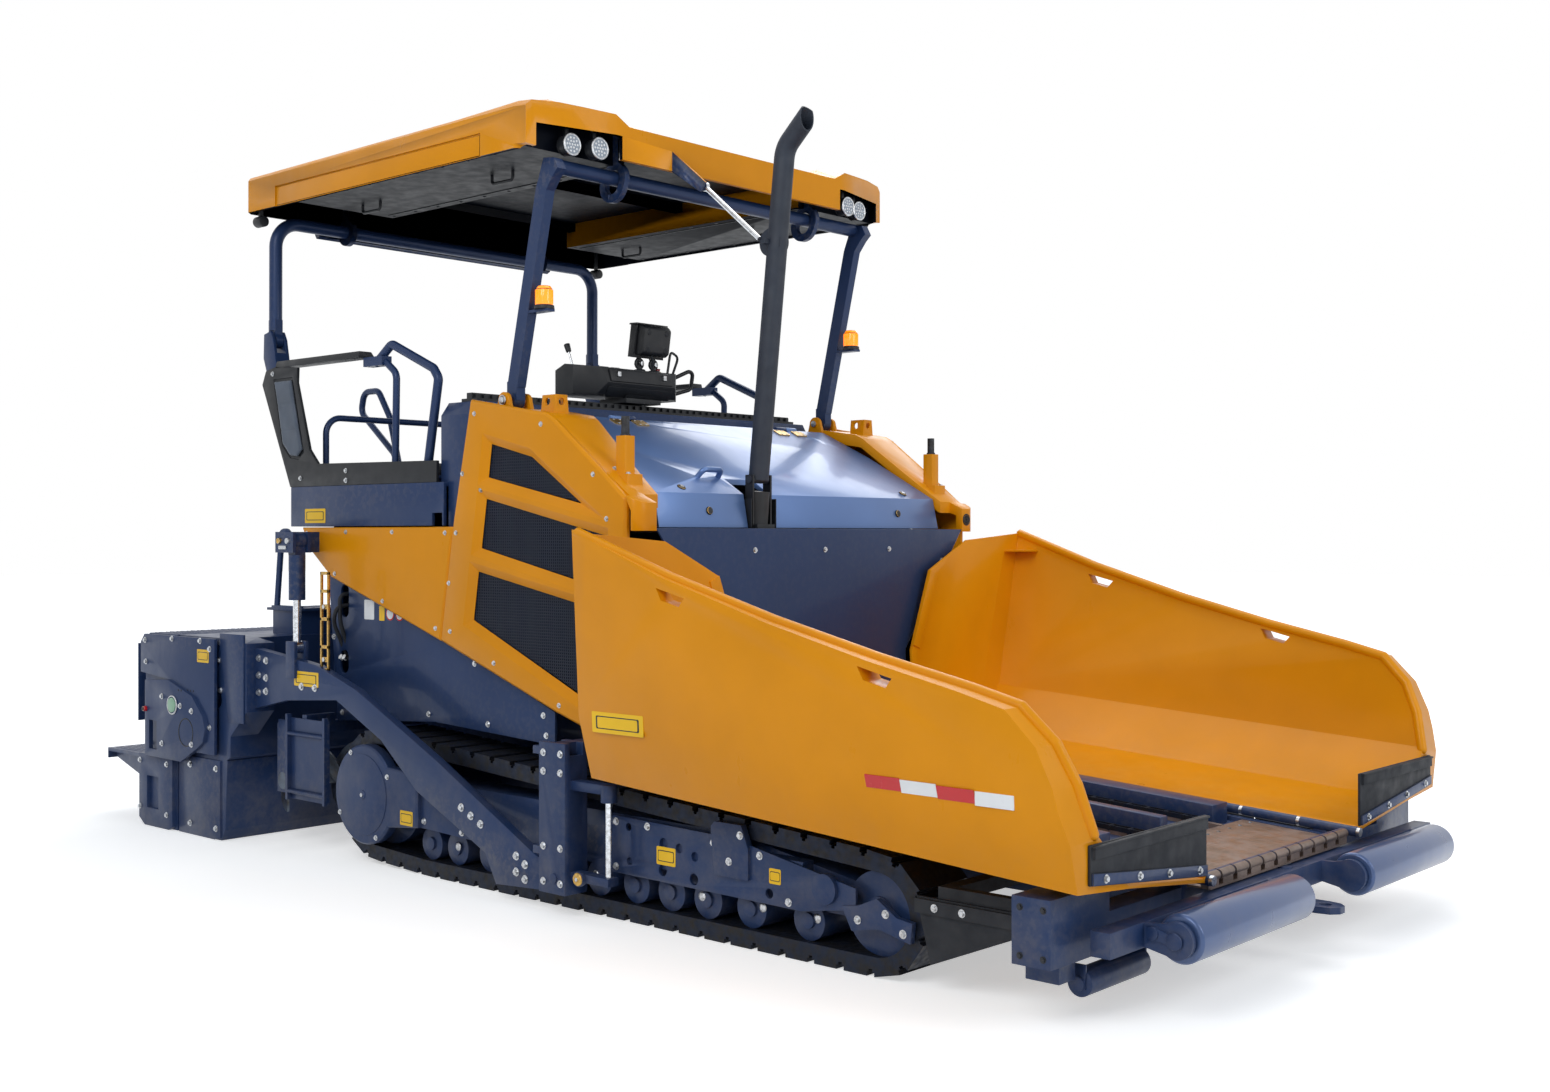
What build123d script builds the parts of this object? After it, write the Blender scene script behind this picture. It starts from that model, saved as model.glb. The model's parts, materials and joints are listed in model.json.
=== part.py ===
"""Tracked asphalt paver: tractor with tipping hopper wings, folding canopy and floating screed.

Frame: +X forward to the hopper, +Y left, +Z up, millimetres.  The origin lies on the
ground below the middle of the machine's overall box.
"""

import math
import os

from build123d import *

os.makedirs("parts", exist_ok=True)

# ---------------------------------------------------------------- driving dimensions
SIGNS = (-1, 1)  # right hand side, left hand side
SIDES = (("right", -1), ("left", 1))

fit = 0.3  # gap between faces that only rest on each other
clear = 12  # running clearance between moving pieces
sheet = 12  # bent body sheet
tube = 45  # handrail and edge tube

# Tracks
track_half_gauge = 1166  # centre of the shoes from the machine's middle
shoe_width = 300
shoe_count = 54
shoe_thick = 28  # steel plate and rubber pad together
shoe_plate_thick = 11
shoe_gap = 0.12  # share of the pitch that lies open between two shoes
pad_inset = 0.06  # share of the pitch by which the pad stays short of its plate's ends
chain_thick = 46
# wheels that the track runs round: x, z and radius to the shoes' outer face
sprocket = (-932, 345, 325)
rear_bogie = (-520, 160, 160)
idler = (2208, 232, 232)
roller_radius = 78
roller_stations = (-520, -320, -80, 170, 420, 670, 900, 1110, 1320, 1560, 1860)
track_frame_half = 95

# Tractor frame
frame_rear_x = -1500
frame_half = 640
frame_wall = 40
frame_bottom_z = 240
deck_z = 860
tunnel_floor_z = 480

# Hopper
hinge_front_x = 3188  # front end of the wing hinge
hinge_rear_x = 888
hinge_front_z = 400
hinge_slope = 0.065  # the hinge line rises to the rear
hinge_y = 660
floor_drop = 50  # conveyor floor below the hinge line
back_wall_x = hinge_rear_x - 42
sill_rear_x = hinge_front_x - 450
wing_front_x = hinge_front_x + 7
wing_top_z = 1652
wing_edge_y = 1620
back_wall_top_z = wing_top_z + 8
frame_front_x = hinge_front_x - 100

# Bodywork
body_half = 1250
panel_thick = 30
panel_front_x = 788
skirt_inset = 60  # the skirts and the deck lie this far inside the side panels' face
fender_front_x = 861
platform_top_z = 1885
platform_rear_x = -1812
platform_front_x = -482
platform_band = 210
dash_rear_x = -540
dash_front_x = -300
dash_top_z = 2270
hood_rear_inset = 345  # the hood's edge from the side panels' face, at its hinge
hood_front_inset = 210
hood_hinge_x = 71
hood_hinge_z = 2197
knuckle_y = 520  # inner end of the fixed half of each hood hinge

# Canopy
canopy_low_z = 3390
canopy_depth = 200  # from the rim's lower edge to the middle of the roof
canopy_half = 1290
canopy_rear_x = -2210
canopy_front_x = 290
hump_height = 60  # the roof over the front lamps above the middle of the roof
rear_pivot = (-2108, 2700)
rear_joint = (-2106, canopy_low_z - 40)
front_pivot = (-102, 2260)
front_joint = (137, canopy_low_z - 55)
rear_tube, front_tube = 70, 70
pivot_play, slot_play = 2, 12  # of the hoops' tubes in the roof's rear eyes and front slots
rear_post_y = body_half - 90
front_post_y = body_half - 130
beacon_z = 2720
hanger_y = 700
# the front eyes are slots, in which the hoop shifts while the roof comes down
front_eye_shifts = ((0, 0), (-7, -19), (-14, -30), (-21, -32), (-16, -17))
exhaust_y = -360
exhaust_foot = (752, 1890)
exhaust_clamp = (850, 2991)
exhaust_radius = 48
strut_joint = (488, canopy_low_z - 100)
strut_y = -450

# Screed
tow_x = 600
tow_z = 170
arm_thick = 46
arm_y = max(track_half_gauge + shoe_width / 2 + 104, body_half + 170)  # centre of a tow arm
arm_rear_x = -1843
screed_half = arm_y + 80
screed_front_x = -2002
main_rear_x = -2530
extension_rear_x = -2930
screed_top_z = 1080
extension_gap = 14
auger_x = -1730
auger_z = 340
auger_radius = 168
auger_pitch = 310
carrier_low_z, carrier_top_z = 812, 856

# Push beam
beam_pin_x = hinge_front_x
push_axis_x = beam_pin_x + 160
push_axis_z = 294
push_radius = 84.5
push_inner_y = 267
push_outer_y = 1140


# ---------------------------------------------------------------- shared operations
def keep(piece, name):
    """Label a finished sub-part and write its STEP file."""
    piece.label = name
    export_step(piece, f"parts/{name}.step")


def plate_xz(points, y_from, y_to, mode=Mode.ADD):
    """Extrude an (x, z) outline from one y plane to another."""
    with BuildSketch(Plane.XZ.offset(-y_from)) as outline:
        with BuildLine():
            Polyline(*points, close=True)
        make_face()
    extrude(outline.sketch, amount=y_from - y_to, mode=mode)


def plate_yz(points, x_from, x_to, mode=Mode.ADD):
    """Extrude a (y, z) outline from one x plane to another."""
    with BuildSketch(Plane.YZ.offset(x_from)) as outline:
        with BuildLine():
            Polyline(*points, close=True)
        make_face()
    extrude(outline.sketch, amount=x_to - x_from, mode=mode)


def plate_xy(points, z_from, z_to, mode=Mode.ADD):
    """Extrude an (x, y) outline from one level to another."""
    with BuildSketch(Plane.XY.offset(z_from)) as outline:
        with BuildLine():
            Polyline(*points, close=True)
        make_face()
    extrude(outline.sketch, amount=z_to - z_from, mode=mode)


def block(x, y, z, mode=Mode.ADD):
    """Add a box given by its (low, high) pairs along x, y and z."""
    with Locations(((x[0] + x[1]) / 2, (y[0] + y[1]) / 2, (z[0] + z[1]) / 2)):
        Box(abs(x[1] - x[0]), abs(y[1] - y[0]), abs(z[1] - z[0]), mode=mode)


def rod(start, end, diameter, mode=Mode.ADD):
    """Add a round bar between two points."""
    run = Vector(*end) - Vector(*start)
    with BuildSketch(Plane(origin=start, z_dir=run)) as section:
        Circle(diameter / 2)
    extrude(section.sketch, amount=run.length, mode=mode)


def bevelled_opening(points, face_y, back_y, bevel):
    """Cut an (x, z) opening through a panel, widened by a bevel to its outer face."""
    with BuildSketch(Plane.XZ.offset(-back_y)) as throat:
        with BuildLine():
            Polyline(*points, close=True)
        make_face()
    with BuildSketch(Plane.XZ.offset(-face_y)) as mouth:
        with BuildLine():
            Polyline(*points, close=True)
        make_face()
        offset(amount=bevel, kind=Kind.INTERSECTION, mode=Mode.REPLACE)
    loft([throat.sketch, mouth.sketch], ruled=True, mode=Mode.SUBTRACT)


def bent_tube(points, bend, diameter):
    """Sweep a round tube along straight runs that meet in equal bends."""
    with BuildLine() as route:
        FilletPolyline(*points, radius=bend)
    with BuildSketch(Plane(origin=route.line @ 0, z_dir=route.line % 0)) as section:
        Circle(diameter / 2)
    sweep(section.sketch, path=route.line)


def hinge_z(x):
    """Height of the sloping wing hinge line at station x."""
    return hinge_front_z + (hinge_front_x - x) * hinge_slope


def floor_z(x):
    """Height of the conveyor floor under the hopper at station x."""
    return hinge_z(x) - floor_drop


# ---------------------------------------------------------------- tracks
def belt_runs(wheels, inset):
    """Arcs and tangents of a belt round the wheels, each radius cut by inset.

    The wheels are listed clockwise as seen from the right hand side of the machine.
    Each run is (kind, data, length); arcs hold centre, radius, start and end angle.
    """
    rounds = [(x, z, r - inset) for x, z, r in wheels]
    joints = []
    for (xa, za, ra), (xb, zb, rb) in zip(rounds, rounds[1:] + rounds[:1]):
        span = math.hypot(xb - xa, zb - za)
        heading = math.atan2(zb - za, xb - xa)
        joints.append(heading - math.pi / 2 + math.asin((ra - rb) / span))
    runs = []
    for index, (x, z, r) in enumerate(rounds):
        begin, end = joints[index - 1], joints[index]
        while end < begin:
            end += 2 * math.pi
        runs.append(("arc", (x, z, r, begin, end), r * (end - begin)))
        xb, zb, rb = rounds[(index + 1) % len(rounds)]
        leave = (x + r * math.cos(end), z + r * math.sin(end))
        meet = (xb + rb * math.cos(end), zb + rb * math.sin(end))
        runs.append(("line", (leave, meet), math.dist(leave, meet)))
    return runs


def belt_point(runs, travel, rise):
    """Point at a travel along the belt, lifted outward by rise."""
    for kind, data, length in runs:
        if travel <= length:
            break
        travel -= length
    if kind == "arc":
        x, z, r, begin, end = data
        angle = begin + travel / r
        return (x + (r + rise) * math.cos(angle), z + (r + rise) * math.sin(angle))
    (xa, za), (xb, zb) = data
    share = travel / length
    nx, nz = (zb - za) / length, -(xb - xa) / length
    return (xa + (xb - xa) * share + nx * rise, za + (zb - za) * share + nz * rise)


track_wheels = (sprocket, rear_bogie, idler)
chain_line = belt_runs(track_wheels, shoe_thick)
chain_length = sum(run[2] for run in chain_line)
shoe_pitch = chain_length / shoe_count

shoe_outline = []
for shoe in range(shoe_count):
    near, far = shoe * shoe_pitch, (shoe + 1 - shoe_gap) * shoe_pitch
    pad_near, pad_far = (shoe + pad_inset) * shoe_pitch, (shoe + 1 - shoe_gap - pad_inset) * shoe_pitch
    for travel, rise in (
        (near, 0), (near, shoe_plate_thick), (pad_near, shoe_plate_thick), (pad_near, shoe_thick),
        (pad_far, shoe_thick), (pad_far, shoe_plate_thick), (far, shoe_plate_thick), (far, 0),
    ):
        shoe_outline.append(belt_point(chain_line, travel, rise))

chain_inside = belt_runs(track_wheels, shoe_thick + chain_thick)

for side, sign in SIDES:
    inner_y = sign * (track_half_gauge - shoe_width / 2)
    outer_y = sign * (track_half_gauge + shoe_width / 2)
    with BuildPart() as track:
        plate_xz(shoe_outline, inner_y, outer_y)
        with BuildSketch(Plane.XZ.offset(-inner_y)) as eye:
            with BuildLine():
                for kind, data, length in chain_inside:
                    if kind == "arc":
                        x, z, r, begin, end = data
                        turn = math.degrees(end - begin)
                        CenterArc((x, z), r, math.degrees(begin), turn)
                    else:
                        Line(*data)
            make_face()
        extrude(eye.sketch, amount=inner_y - outer_y, mode=Mode.SUBTRACT)
    keep(track.part, f"track_{side}")

# Frames that carry the bottom rollers, the idler and the sprocket hub.
roller_z = shoe_thick + chain_thick + roller_radius + fit
frame_outline = (
    (-660, 300), (-560, 210), (700, 205), (1900, 190), (2290, 190),
    (2290, 270), (2060, 330), (1500, 425), (1300, 435), (770, 440), (-560, 440), (-660, 400),
)
# holes in the side plates: x, z and radius
frame_holes = (
    (905, 405, 17), (910, 262, 17), (1110, 250, 24), (1115, 360, 24), (1205, 352, 20),
    (1290, 238, 24), (1295, 330, 20), (1700, 240, 20),
)
scraper = (
    (2073, 250), (2150, 262), (2238, 300), (2330, 243), (2400, 234), (2392, 158), (2250, 190),
    (2120, 165),
)
tension_box = ((1400, 430), (1400, 470), (1420, 490), (1564, 490), (1602, 400), (1602, 278), (1420, 278))
with BuildPart() as track_frames:
    for sign in SIGNS:
        near, far = sign * (track_half_gauge - track_frame_half), sign * (track_half_gauge + track_frame_half)
        plate_xz(frame_outline, near, far)
        # side plate outside the shoes, carried from between the runs of the track, with its
        # holes, tension box, scraper and idler guide
        plate_near = sign * (track_half_gauge + shoe_width / 2 + 8)
        plate_far = plate_near + sign * 14
        block((820, 1860), (far, plate_near), (250, 380))
        outline = ((780, 205), (1860, 196), (2130, 240), (2130, 320), (1500, 430), (780, 446))
        plate_xz(outline, plate_near, plate_far)
        for x, z, r in frame_holes:
            rod((x, plate_near - sign * 4, z), (x, plate_far + sign, z), 2 * r, mode=Mode.SUBTRACT)
        plate_xz(tension_box, plate_near, plate_far + sign * 16)
        plate_xz(scraper, plate_near, plate_far + sign * 12)
        rod((1990, plate_near, 300), (1990, plate_far + sign * 20, 300), 116)
        idler_radius = idler[2] - shoe_thick - chain_thick - fit
        wheels = [(station, roller_z, roller_radius) for station in roller_stations]
        for x, z, r in (*wheels, (idler[0], idler[1], idler_radius)):
            wide = shoe_width / 2 - 30
            rod((x, sign * (track_half_gauge - wide), z), (x, sign * (track_half_gauge + wide), z), 2 * r)
            hub_y = track_half_gauge + wide
            rod((x, sign * hub_y, z), (x, sign * (hub_y + 14), z), 0.8 * r)
        # cross members that reach in to the tractor frame
        for x in (-300, 900, 1900):
            block((x - 60, x + 60), (sign * frame_half, near), (230, 350))
keep(track_frames.part, "track_frames")

drive_x, drive_z, drive_radius = sprocket[0] - 13, sprocket[1] + 7, 245
with BuildPart() as final_drives:
    for sign in SIGNS:
        face_y = sign * (track_half_gauge + shoe_width / 2)
        cover_y = face_y + sign * 70
        # round planetary cover with its rim and hub, and the guard ahead of it
        rod((drive_x, face_y + sign * 14, drive_z), (drive_x, cover_y, drive_z), 2 * drive_radius)
        plate_xz(
            ((drive_x, drive_z - 160), (-510, 237), (-510, 492), (drive_x, drive_z + 160)),
            face_y + sign * 14, cover_y,
        )
        outer_edges = final_drives.faces().sort_by(Axis.Y)[-1 if sign > 0 else 0].edges()
        chamfer(outer_edges, 9)
        rod((drive_x - 6, cover_y, drive_z), (drive_x - 6, cover_y + sign * 4, drive_z), 2 * drive_radius - 90)
        plate_xz(
            ((-540, 237), (-114, 223), (-150, 262), (-470, 480), (-540, 490)),
            sign * (track_half_gauge + shoe_width / 2 - 26), face_y + sign * 40,
        )
        # toothed sprocket inside the chain and its hub
        gear = sprocket[2] - shoe_thick - chain_thick - fit
        rod((sprocket[0], sign * (track_half_gauge - 60), sprocket[1]),
            (sprocket[0], sign * (track_half_gauge + 60), sprocket[1]), 2 * gear)
        rod((sprocket[0], sign * frame_half, sprocket[1]),
            (sprocket[0], cover_y, sprocket[1]), 260)
keep(final_drives.part, "final_drives")

# ---------------------------------------------------------------- tractor frame
with BuildPart() as main_frame:
    for sign in SIGNS:
        plate_xz(
            (
                (frame_rear_x, 330), (frame_rear_x, deck_z), (back_wall_x, deck_z),
                (back_wall_x, hinge_z(back_wall_x) - 30),
                (frame_front_x, hinge_z(frame_front_x) - 30),
                (frame_front_x, frame_bottom_z), (-1250, frame_bottom_z),
            ),
            sign * (frame_half - frame_wall), sign * frame_half,
        )
    # conveyor floor: level in the tunnel, then along the hopper
    plate_xz(
        (
            (frame_rear_x - 90, tunnel_floor_z - 20), (frame_rear_x - 90, tunnel_floor_z),
            (back_wall_x, floor_z(back_wall_x)), (frame_front_x, floor_z(frame_front_x)),
            (frame_front_x, floor_z(frame_front_x) - 20), (back_wall_x, floor_z(back_wall_x) - 20),
        ),
        -(frame_half - frame_wall), frame_half - frame_wall,
    )
    block((-1250, frame_front_x), (-frame_half + frame_wall, frame_half - frame_wall),
          (frame_bottom_z, frame_bottom_z + 16))
    for x in (-1180, -300, 900, 1900, frame_front_x - 40):
        block((x, x + 40), (-frame_half + frame_wall, frame_half - frame_wall),
              (frame_bottom_z, floor_z(x) - 20 if x > back_wall_x else tunnel_floor_z - 20))
    # saddles under the wing hinges
    for sign in SIGNS:
        for x in (980, 1500, 2020, 2540, 3020):
            plate_xz(
                (
                    (x, hinge_z(x) - 40), (x + 60, hinge_z(x + 60) - 40),
                    (x + 60, hinge_z(x + 60) - 18.3), (x, hinge_z(x) - 18.3),
                ),
                sign * (frame_half - 2), sign * (hinge_y + 12),
            )
keep(main_frame.part, "main_frame")

with BuildPart() as engine_deck:
    deck_half = body_half - skirt_inset
    block((frame_rear_x, back_wall_x), (-deck_half, deck_half), (deck_z, deck_z + sheet))
    # bulkheads across the body, behind and ahead of the engine
    for x, top_z in ((frame_rear_x, platform_top_z - 20), (-420, 1660)):
        block((x, x + sheet), (-deck_half, deck_half), (deck_z, top_z))
keep(engine_deck.part, "engine_deck")

with BuildPart() as engine:
    block((-300, 600), (-430, 430), (deck_z + sheet, 1640))
keep(engine.part, "engine")

# Two slat conveyors side by side: chains along the floor with bars across.
with BuildPart() as conveyors:
    for sign in SIGNS:
        for chain_y in (75, 385):
            plate_xz(
                (
                    (back_wall_x + 30, floor_z(back_wall_x + 30)),
                    (sill_rear_x - 10, floor_z(sill_rear_x - 10)),
                    (sill_rear_x - 10, floor_z(sill_rear_x - 10) + 22),
                    (back_wall_x + 30, floor_z(back_wall_x + 30) + 22),
                ),
                sign * (chain_y - 16), sign * (chain_y + 16),
            )
        for index in range(8):
            x = back_wall_x + 120 + index * 230
            plate_xz(
                ((x, floor_z(x)), (x + 36, floor_z(x + 36)),
                 (x + 36, floor_z(x + 36) + 18), (x, floor_z(x) + 18)),
                sign * 75, sign * 385,
            )
keep(conveyors.part, "conveyors")

with BuildPart() as conveyor_guards:
    guard_run = (back_wall_x + 24, sill_rear_x - 70)
    for low_y, high_y, rise in ((-30, 30, 95), (-560, -425, 88), (425, 560, 88)):
        plate_xz(
            (
                (guard_run[0], floor_z(guard_run[0])), (guard_run[1], floor_z(guard_run[1])),
                (guard_run[1], floor_z(guard_run[1]) + rise),
                (guard_run[0], floor_z(guard_run[0]) + rise),
            ),
            low_y, high_y,
        )
keep(conveyor_guards.part, "conveyor_guards")

with BuildPart() as back_wall:
    plate_yz(
        (
            (120 - body_half, back_wall_top_z), (body_half - 120, back_wall_top_z), (frame_half, 1050),
            (frame_half, hinge_z(back_wall_x)), (-frame_half, hinge_z(back_wall_x)),
            (-frame_half, 1050),
        ),
        back_wall_x, back_wall_x + sheet,
    )
    # the conveyors leave through the lower opening
    block((back_wall_x - 5, back_wall_x + 20), (-560, 560), (400, 700), mode=Mode.SUBTRACT)
keep(back_wall.part, "back_wall")

# ---------------------------------------------------------------- body panels
side_outline = (
    (-282, 2270), (268, 2180), (313, 2155), (663, 1890), (panel_front_x, 1790),
    (panel_front_x, 700), (318, 840), (-512, 1120), (-412, 1700),
)
# grille openings: corners as (x, z)
grilles = (
    ((-149, 2054), (139, 1985), (474, 1771), (-172, 1901)),
    ((-187, 1798), (640, 1625), (640, 1390), (-224, 1569)),
    ((-247, 1456), (640, 1290), (640, 850), (-284, 1229)),
)
with BuildPart() as side_panels:
    for sign in SIGNS:
        near, far = sign * (body_half - panel_thick), sign * body_half
        plate_xz(side_outline, near, far)
        chamfer(side_panels.faces().sort_by(Axis.Y)[-1 if sign > 0 else 0].edges(), 12)
        for corners in grilles:
            bevelled_opening(corners, far, near, 42)
        # flange that carries the panel on the deck
        block((282, 430), (sign * (body_half - skirt_inset - 10), near), (deck_z + sheet, deck_z + 40))
keep(side_panels.part, "side_panels")

with BuildPart() as side_grilles:
    for sign in SIGNS:
        near, far = sign * (body_half - panel_thick - 14), sign * (body_half - panel_thick)
        for corners in grilles:
            grown = [(x + (12 if x > 0 else -12), z) for x, z in corners]
            plate_xz(grown, near, far)
        for corners in grilles:
            low = min(z for x, z in corners)
            high = max(z for x, z in corners)
            for index in range(int((high - low) / 46)):
                z = low + 30 + index * 46
                block((-330, 700), (near - sign * 2, far + sign * 2), (z, z + 16), mode=Mode.SUBTRACT)
keep(side_grilles.part, "side_grilles")

rear_outline = (
    (-1712, 1670), (-418, 1670), (-512, 1120), (-1000, 1275), (-1442, 1412), (-1612, 1535),
)
with BuildPart() as rear_panels:
    for sign in SIGNS:
        near, far = sign * (body_half - panel_thick), sign * body_half
        plate_xz(rear_outline, near, far)
        chamfer(rear_panels.faces().sort_by(Axis.Y)[-1 if sign > 0 else 0].edges(), 9)
        block((frame_rear_x, frame_rear_x + 60), (sign * (body_half - 46), near), (1480, 1660))
keep(rear_panels.part, "rear_panels")

with BuildPart() as skirts:
    for sign in SIGNS:
        near = sign * (body_half - skirt_inset)
        far = near + sign * 14
        plate_xz(
            (
                (-1522, 1395), (-1442, 667), (-612, 720), (278, 680), (278, 830),
                (-500, 1112), (-500, 1400), (-1442, 1560), (-1500, 1500),
            ),
            near, far,
        )
        # rounded slots for the lift's hoses and the step
        for x, z, wide, high in ((-1377, 1290, 70, 170), (-1382, 975, 76, 120)):
            with BuildSketch(Plane.XZ.offset(-near)) as slot:
                with Locations((x, z)):
                    RectangleRounded(wide, high, wide / 2 - 2)
            extrude(slot.sketch, amount=-sign * 30, both=True, mode=Mode.SUBTRACT)
keep(skirts.part, "skirts")

# ---------------------------------------------------------------- hood and fenders
hood_profile = ((71, 2197), (361, 2049), (742, 1820), (773, 1664))
hood_plan_x = 820
hood_rear_half = body_half - hood_rear_inset
hood_front_half = body_half - hood_front_inset
hood_taper = (hood_front_half - hood_rear_half) / hood_plan_x
hood_under = [(x - 6, z - 22) for x, z in reversed(hood_profile)]
notch_low_y, notch_high_y = exhaust_y - 95, exhaust_y + 95
with BuildPart() as hood:
    plate_xz((*hood_profile, (773 - 20, 1664), *hood_under[1:]), -hood_front_half, hood_front_half)
    plate_xy(
        (
            (0, -hood_rear_half), (0, hood_rear_half),
            (hood_plan_x, hood_front_half), (hood_plan_x, -hood_front_half),
        ),
        1600, 2260, mode=Mode.INTERSECT,
    )
    block((620, 830), (notch_low_y, notch_high_y), (1600, 2000), mode=Mode.SUBTRACT)
    # grip beside the notch
    with BuildLine() as grip:
        FilletPolyline((600, notch_low_y - 170, 1892), (640, notch_low_y - 160, 1935),
                       (640, notch_low_y - 40, 1935), (600, notch_low_y - 30, 1892), radius=24)
    with BuildSketch(Plane(origin=grip.line @ 0, z_dir=grip.line % 0)) as grip_section:
        Circle(13)
    sweep(grip_section.sketch, path=grip.line)
    # two stiffeners under the skin
    for sign in SIGNS:
        plate_xz(
            ((110, 2155), (361, 2027), (730, 1806), (700, 1780), (350, 1980), (110, 2110)),
            sign * 690, sign * 702,
        )
        # room for the fixed knuckle, and the hood's own beside it
        block((50, 94), (sign * (knuckle_y - 2), sign * (knuckle_y + 82)), (2100, 2300), mode=Mode.SUBTRACT)
        rod((hood_hinge_x, sign * (knuckle_y + 79), hood_hinge_z),
            (hood_hinge_x, sign * (knuckle_y + 160), hood_hinge_z), 26)
keep(hood.part, "hood")

fender_top = (
    (60, 2212), (268, 2180), (313, 2155), (663, 1890), (panel_front_x + 2, 1800),
    (fender_front_x, 1770), (fender_front_x, 1648), (820, 1648), (820, 1735), (765, 1752),
    (640, 1850), (300, 2110), (60, 2150),
)
lug_x, lug_low_z, lug_top_z = 184, 2160, 2272
nose_radius = 62
stake_x = 658
with BuildPart() as fenders:
    for sign in SIGNS:
        inner_y = hood_rear_half + clear
        panel_y = body_half - panel_thick
        plate_xz(fender_top, sign * (inner_y - 40), sign * panel_y)
        # the nose reaches out to the side panel's face, rounded in plan
        nose = fender_top[4:9]
        plate_xz(nose, sign * (panel_y - 1), sign * body_half)
        centre_x, centre_y = fender_front_x - nose_radius, sign * (body_half - nose_radius)
        with BuildSketch(Plane.XY.offset(1500)) as corner:
            with Locations((centre_x + nose_radius, centre_y + sign * nose_radius)):
                Rectangle(2 * nose_radius, 2 * nose_radius)
            with Locations((centre_x, centre_y)):
                Circle(nose_radius, mode=Mode.SUBTRACT)
        extrude(corner.sketch, amount=800, mode=Mode.SUBTRACT)
        plate_xy(
            (
                (0, 0), (0, sign * inner_y), (780, sign * (inner_y + 780 * hood_taper)),
                (780, sign * (body_half - 120)), (900, sign * (body_half - 120)), (900, 0),
            ),
            1500, 2300, mode=Mode.SUBTRACT,
        )
        # lifting lug: an open box with a hole in each wall that faces the slings
        lug_y = sign * front_post_y
        plate_yz(
            (
                (lug_y - 46, lug_low_z), (lug_y - 34, lug_top_z), (lug_y + 34, lug_top_z),
                (lug_y + 46, lug_low_z),
            ),
            lug_x - 52, lug_x + 44,
        )
        block((lug_x - 60, lug_x + 32), (lug_y - 26, lug_y + 26), (lug_low_z + 30, lug_top_z + 5),
              mode=Mode.SUBTRACT)
        rod((lug_x, lug_y, lug_top_z - 32), (lug_x + 60, lug_y, lug_top_z - 32), 34, mode=Mode.SUBTRACT)
        rod((lug_x - 12, lug_y - 60, lug_top_z - 32), (lug_x - 12, lug_y + 60, lug_top_z - 32), 34,
            mode=Mode.SUBTRACT)
        # side stake in its socket
        block((stake_x - 29, stake_x + 29), (sign * (body_half - 154), sign * (body_half - 96)), (1860, 2066))
        block((stake_x - 52, stake_x + 62), (sign * (body_half - 170), sign * (body_half - 80)), (1840, 1897))
        rod((stake_x, sign * (body_half - 125), 2066), (stake_x, sign * (body_half - 125), 2150), 34)
        # front post clevis with rounded ears and its pin
        block((front_pivot[0] - 60, 75), (sign * (body_half - 200), sign * (panel_y - 15)), (2000, 2190))
        for cheek_y in (front_post_y - 72, front_post_y + 52):
            near, far = sign * cheek_y, sign * (cheek_y + 20)
            plate_xz(
                (
                    (front_pivot[0] - 58, 2185), (front_pivot[0] - 36, front_pivot[1] + 8),
                    (front_pivot[0] + 36, front_pivot[1] + 8), (front_pivot[0] + 62, 2185),
                ),
                near, far,
            )
            rod((front_pivot[0], near, front_pivot[1]), (front_pivot[0], far, front_pivot[1]), 76)
        rod((front_pivot[0], sign * (front_post_y - 80), front_pivot[1]),
            (front_pivot[0], sign * (front_post_y + 80), front_pivot[1]), 30)
keep(fenders.part, "fenders")

# ---------------------------------------------------------------- operator's platform
with BuildPart() as platform:
    block((platform_rear_x, platform_front_x), (-body_half, body_half),
          (platform_top_z - platform_band, platform_top_z))
    block((platform_rear_x + 20, platform_front_x + 5), (-body_half + 20, body_half - 20),
          (platform_top_z - platform_band - 5, platform_top_z - 20), mode=Mode.SUBTRACT)
    # notch for the step bracket at the front foot of each side band
    for sign in SIGNS:
        block((platform_front_x - 92, platform_front_x - 12), (sign * (body_half - 25), sign * (body_half + 5)),
              (platform_top_z - platform_band - 5, platform_top_z - platform_band + 62), mode=Mode.SUBTRACT)
keep(platform.part, "platform")

with BuildPart() as dash_cabinet:
    half = body_half - panel_thick
    shoulder = 46  # bevel along each upper end
    plate_yz(
        (
            (-half, platform_top_z), (-half, dash_top_z - 1.4 * shoulder), (-half + shoulder, dash_top_z),
            (half - shoulder, dash_top_z), (half, dash_top_z - 1.4 * shoulder), (half, platform_top_z),
        ),
        dash_rear_x, dash_front_x,
    )
    block((platform_front_x, dash_front_x), (-half, half), (1660, platform_top_z))
    block((dash_rear_x + 20, dash_front_x - 20), (-half + 20, half - 20),
          (platform_top_z + 20, dash_top_z - 70), mode=Mode.SUBTRACT)
    # shelf behind the hood, with the fixed halves of its hinges
    shelf_half = body_half - hood_front_inset
    block((dash_front_x - 10, hood_hinge_x - 32), (-shelf_half, shelf_half), (2150, 2180))
    block((dash_front_x - 10, dash_front_x + 10), (-shelf_half, shelf_half), (2150, dash_top_z - 10))
    for sign in SIGNS:
        block((hood_hinge_x - 50, hood_hinge_x), (sign * (knuckle_y + 2), sign * (knuckle_y + 76)), (2172, 2190))
        rod((hood_hinge_x, sign * knuckle_y, hood_hinge_z),
            (hood_hinge_x, sign * (knuckle_y + 78.5), hood_hinge_z), 26)
keep(dash_cabinet.part, "dash_cabinet")

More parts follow.
